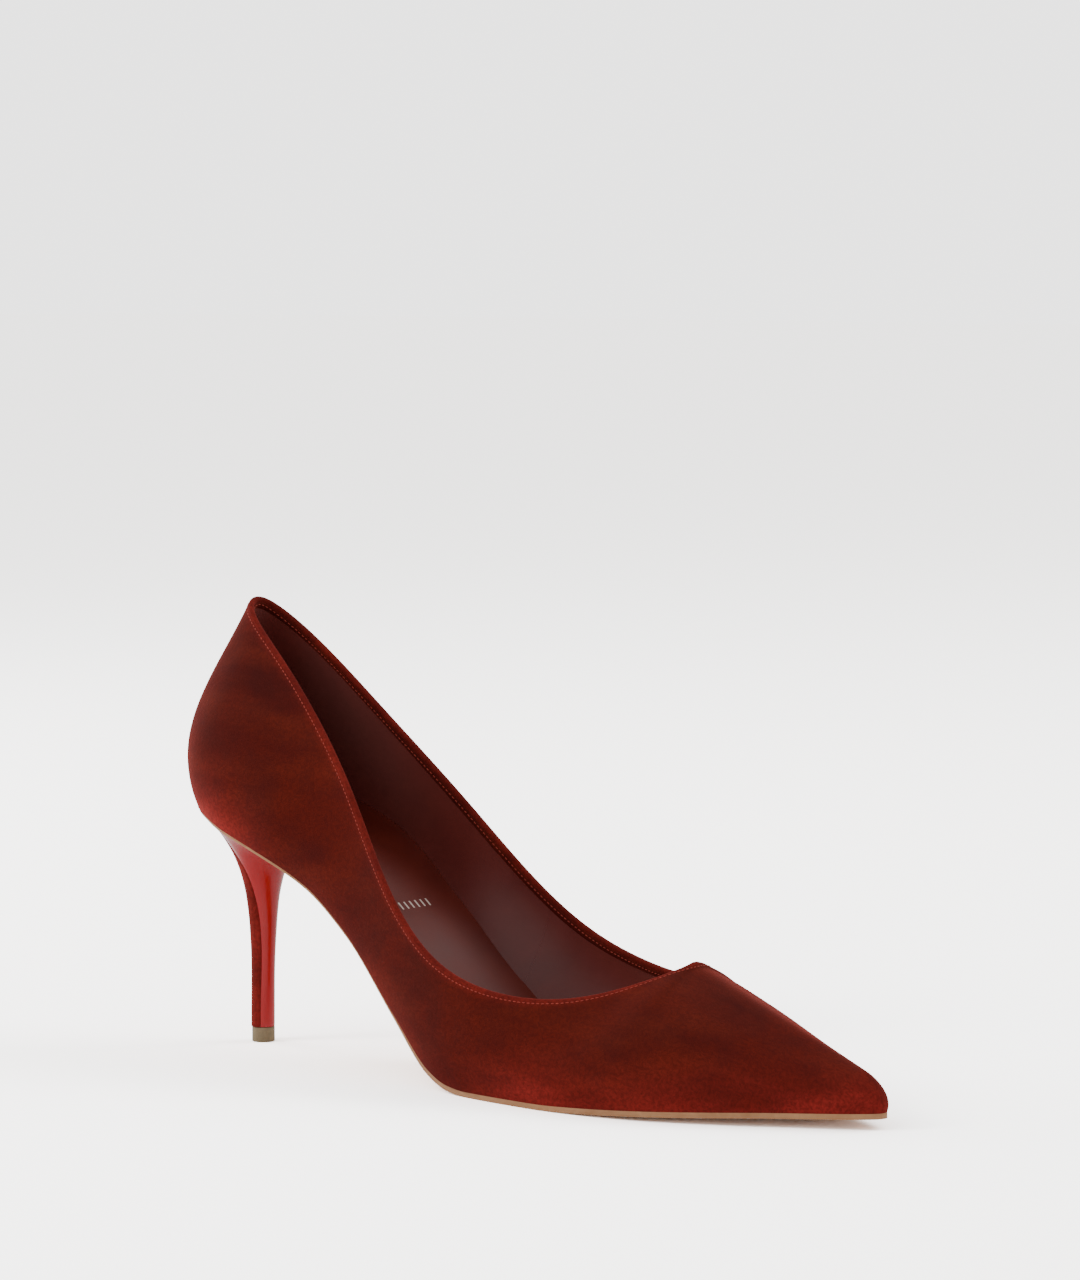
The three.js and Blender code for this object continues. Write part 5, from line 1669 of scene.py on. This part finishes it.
@dataclass
class Heel:
    """Slim heel: suede cover round its back and sides, lacquered breast, and top lift."""

    last: Last
    bench: Workbench
    palette: Palette
    set_in: float = 22.3
    stem_half: float = 3.5
    seat_front: float = 24.0
    inset: float = 0.8
    back_inset: float = 0.3
    skin: float = 0.5
    lift_height: float = 4.6
    joint: float = 0.12
    levels: int = 84
    facets: int = 40
    seam: float = 0.05
    cover_proud: float = 0.22
    lip: float = 0.95
    lip_rows: int = 3
    lip_ends: tuple[float, float] = (38.0, 58.0)
    lift_round: float = 0.3
    lift_arc: int = 6
    lift_rings: int = 72
    crowding: float = 0.6
    egg_from: float = 0.55
    soft_edge: tuple[float, float] = (-0.2, 0.6)
    skin_bevel: float = 0.12

    back_flare: Curve = Curve((
        (0, 0), (0.42, 0.01), (0.55, 0.04), (0.66, 0.1), (0.75, 0.2), (0.84, 0.37), (0.92, 0.6),
        (1, 1),
    ))
    side_flare: Curve = Curve((
        (0, 0), (0.42, 0.01), (0.55, 0.05), (0.66, 0.12), (0.75, 0.23), (0.84, 0.41), (0.92, 0.65),
        (1, 1),
    ))
    front_flare: Curve = Curve((
        (0, 0), (0.3, 0.02), (0.5, 0.05), (0.7, 0.09), (0.8, 0.14), (0.88, 0.25), (0.95, 0.52),
        (1, 1),
    ))
    cover_angle: Curve = Curve(((0, 118), (0.6, 112), (0.8, 89), (0.92, 66), (1, 54)))
    # Painted sheen highlight that lightens the whole suede heel cover.
    cover_painted_sheen: float = 0.7

    def build(self) -> None:
        """Makes the cover, the breast and the top lift."""
        self.skins()
        self.top_lift()

    def sole_half(self, x: np.ndarray) -> np.ndarray:
        """Half width of the sole's narrower side at a distance from the back."""
        station = station_of(np.clip(x / self.last.length, 0, 1))
        return np.minimum(*(self.last.half_width[side](station) for side in Side))

    def seat_height(self, x: np.ndarray) -> np.ndarray:
        """Height of the sole's underside at a distance from the back."""
        station = station_of(np.clip(x / self.last.length, 0, 1))
        return self.last.middle(station)[..., 2]

    def surface(self, level: np.ndarray, angle: np.ndarray, depth: float) -> np.ndarray:
        """Points of the heel's face.

        Args:
            level: Share of the way up, from the top lift to the seat.
            angle: Angle round the stem axis, 0 at the back.
            depth: Depth under the face.

        Returns:
            The points, level by angle.
        """
        level, angle = np.asarray(level)[:, None], np.asarray(angle)
        back = mix(self.stem_half, self.set_in - self.back_inset, self.back_flare(level)) - depth
        wide = self.sole_half(np.array(self.set_in))
        side = mix(self.stem_half, wide - self.inset, self.side_flare(level)) - depth
        front = mix(self.stem_half, self.seat_front, self.front_flare(level)) - depth
        behind = np.cos(angle) > 0
        x = self.set_in - np.cos(angle) * np.where(behind, back, front)
        plain = np.abs(np.sin(angle))
        seat = self.sole_half(self.set_in * (1 - np.abs(np.cos(angle)))) / wide
        egg = np.where(behind, seat, plain)
        y = -np.sign(np.sin(angle)) * mix(plain, egg, smoothstep(level, self.egg_from, 1)) * side
        base = self.lift_height + self.joint
        return np.stack([x, y, mix(base, self.seat_height(x) - self.seam, level)], -1)

    def skins(self) -> None:
        """Suede cover, and the lacquered breast that is set a little behind its edges."""
        rise = np.linspace(0, 1, self.levels + 1)
        turned_up = np.linspace(0, 1, self.lip_rows + 1)[1:]
        crowded = rise * (1 + self.crowding - self.crowding * rise)
        level = np.concatenate([crowded, np.ones(self.lip_rows)])
        lift = np.concatenate([np.zeros(self.levels + 1), turned_up])[:, None]
        seam = np.radians(self.cover_angle(level))
        share = np.linspace(0, 1, 2 * self.facets + 1)
        spans = {
            "heel_cover": (-seam, seam, self.palette.suede, -self.cover_proud),
            "heel_breast": (seam, 2 * np.pi - seam, self.palette.lacquer, 0.0),
        }
        centre = np.array([self.set_in, 0])
        for name, (start, end, finish, proud) in spans.items():
            joint = self.surface(level, start[:, None], 0)[:, 0, :2]
            radius = np.linalg.norm(joint - centre, axis=1)
            trim = self.seam / 2 / radius
            angle = mix((start + trim)[:, None], (end - trim)[:, None], share[None, :])
            edge = np.minimum(share, 1 - share) * (end - start)[:, None] * radius[:, None]
            soft = proud * smoothstep(edge, *self.soft_edge)
            outer = self.surface(level, angle, 0)
            out = unit(outer[..., :2] - centre)
            outer[..., :2] -= out * soft[..., None]
            inner = self.surface(level, angle, self.skin)
            covers = name == "heel_cover"
            lip = 1 - smoothstep(np.abs(np.degrees(angle)), *self.lip_ends) if covers else 0.0
            wrap = lift * (self.lip * lip + self.seam / 2)
            outer[..., 2] += wrap
            inner[..., 2] += wrap
            index = np.arange(angle.size).reshape(angle.shape)
            # The heel cover is painted lighter all over with the sheen highlight; the breast gets
            # none.
            painted_sheen = np.full(angle.size, self.cover_painted_sheen) if covers else None
            solid = shell(grid_faces(index), outer.reshape(-1, 3), inner.reshape(-1, 3), painted_sheen)
            self.bench.piece(f"{name}_skin", solid, finish, [name], crease=50,
                             bevel=self.skin_bevel)

    def top_lift(self) -> None:
        """Round top lift with softened edges, turned from its half section."""
        low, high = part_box("top_lift")
        radius, height = (high.x - low.x) / 2 / MM, (high.z - low.z) / MM
        corner = self.lift_round
        flat, rise = radius - corner, height - corner
        arc = np.linspace(0, np.pi / 2, self.lift_arc)
        section = [(0.0, 0.0)]
        section += [(flat + corner * math.sin(a), corner - corner * math.cos(a)) for a in arc]
        section += [(flat + corner * math.cos(a), rise + corner * math.sin(a)) for a in arc]
        section += [(0.0, height)]
        turn = np.linspace(0, 2 * np.pi, self.lift_rings, endpoint=False)
        points = np.array([
            [self.set_in + r * math.cos(a), r * math.sin(a), z] for r, z in section for a in turn
        ])
        index = np.arange(len(points)).reshape(len(section), self.lift_rings).T
        index = np.vstack([index, index[:1]])
        index[:, 0], index[:, -1] = index[0, 0], index[0, -1]
        solid = Solid(points, grid_faces(index))
        self.bench.piece("rubber_top_lift", solid, self.palette.lift, ["top_lift"], crease=50)


# ------------------------------------------------------------------ hidden hardware


@dataclass
class Hardware:
    """CAD nodes that keep their own shape and take a finish of their own."""

    palette: Palette
    nails: int = 4

    def dress(self) -> None:
        """Gives the nodes their materials."""
        steel = ["rivet_rear", "rivet_front", "heel_tube", "heel_screw", "top_lift_pin"]
        steel += [f"heel_nail_{number}" for number in range(1, self.nails + 1)]
        finishes = {node: self.palette.steel for node in steel}
        finishes["heel_core"] = self.palette.plastic
        for node, finish in finishes.items():
            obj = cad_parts[node]
            for spot in obj.material_slots:
                spot.material = finish.material()
            log.info("%s dressed in %s", node, finish.name)


# ------------------------------------------------------------------ stage


@dataclass
class Stage:
    """Pale floor, soft light and the camera."""

    azimuth: float = 39.8
    elevation: float = 7.5
    distance: float = 1.4
    target: tuple[float, float, float] = (-0.0061, 0.0005, 0.06)
    lens: float = 134.0
    aim_up: float = 2.81
    shift: float = 0.0234
    floor_half: float = 12.0
    floor_tone: Colour = (0.92, 0.91, 0.9, 1.0)
    whiteness: float = 4.0
    surround: float = 0.8
    sensor: float = 36.0
    far_clip: float = 100.0
    sky_tone: Colour = (1.0, 0.99, 0.98, 1.0)

    def build(self) -> None:
        """Sets up the floor, the light and the camera."""
        self.camera()
        self.floor()
        self.lights()

    def camera(self) -> None:
        """Camera that looks down at the shoe from its toe side."""
        turn, tilt = math.radians(self.azimuth), math.radians(self.elevation)
        level = math.cos(tilt)
        look = Vector((-math.sin(turn) * level, math.cos(turn) * level, -math.sin(tilt)))
        data = bpy.data.cameras.new("camera")
        data.lens = self.lens
        data.sensor_width = self.sensor
        data.shift_x = self.shift
        data.clip_end = self.far_clip
        obj = added("camera", data)
        obj.location = Vector(self.target) - look * self.distance
        obj.rotation_euler = (math.pi / 2 - tilt + math.radians(self.aim_up), 0.0, turn)
        bpy.context.scene.camera = obj

    def floor(self) -> None:
        """Wide pale floor."""
        half = self.floor_half
        mesh = bpy.data.meshes.new("floor")
        corners = [(-half, -half, 0), (half, -half, 0), (half, half, 0), (-half, half, 0)]
        mesh.from_pydata(corners, [], [(0, 1, 2, 3)])
        material = bpy.data.materials.new("pale_floor")
        sketch = fresh(material)
        seen = sketch.add("ShaderNodeLightPath").outputs["Is Camera Ray"]
        plain = sketch.add("ShaderNodeBsdfDiffuse", in_Color=self.floor_tone)
        bright = tuple(self.whiteness * part for part in self.floor_tone)
        lit = sketch.add("ShaderNodeBsdfDiffuse", in_Color=bright)
        both = sketch.add("ShaderNodeMixShader", in_0=seen, in_1=plain.outputs[0],
                          in_2=lit.outputs[0])
        sketch.add("ShaderNodeOutputMaterial", in_Surface=both.outputs[0])
        mesh.materials.append(material)
        obj = added("floor", mesh)

    def lights(self) -> None:
        """Bright surroundings and four soft boxes."""
        world = bpy.data.worlds.new("studio")
        sketch = fresh(world)
        seen = sketch.add("ShaderNodeLightPath").outputs["Is Camera Ray"]
        white = self.surround * self.whiteness * self.floor_tone[0]
        strength = sketch.span(seen, 0.0, 1.0, self.surround, white)
        ground = sketch.add("ShaderNodeBackground", in_Color=self.sky_tone, in_Strength=strength)
        sketch.add("ShaderNodeOutputWorld", in_Surface=ground.outputs[0])
        bpy.context.scene.world = world
        for name, place, size, power in (
            ("key", (-0.6, -1.3, 1.7), 1.2, 8.0),
            ("rim", (0.9, 1.2, 1.5), 1.0, 14.0),
            ("side", (-1.5, -0.1, 0.5), 0.8, 9.0),
            ("lining", (-0.8, -1.1, 0.95), 0.5, 7.0),
        ):
            data = bpy.data.lights.new(name, "AREA")
            data.size = size
            data.energy = power
            obj = added(name, data)
            obj.location = place
            aim = Vector(self.target) - Vector(place)
            obj.rotation_euler = aim.to_track_quat("-Z", "Y").to_euler()


def main() -> None:
    """Builds the shoe in order."""
    logging.basicConfig(level=logging.INFO, format="%(message)s")
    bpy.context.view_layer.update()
    palette = Palette()
    last = Last()
    bench = Workbench(Heel.set_in)
    wall = Wall(last)
    upper = Upper(wall, bench, palette)
    upper.build()
    Bottom(wall, bench, palette, upper.inner_depth).build()
    Heel(last, bench, palette).build()
    Hardware(palette).dress()
    Stage().build()


if __name__ == "__main__":
    main()
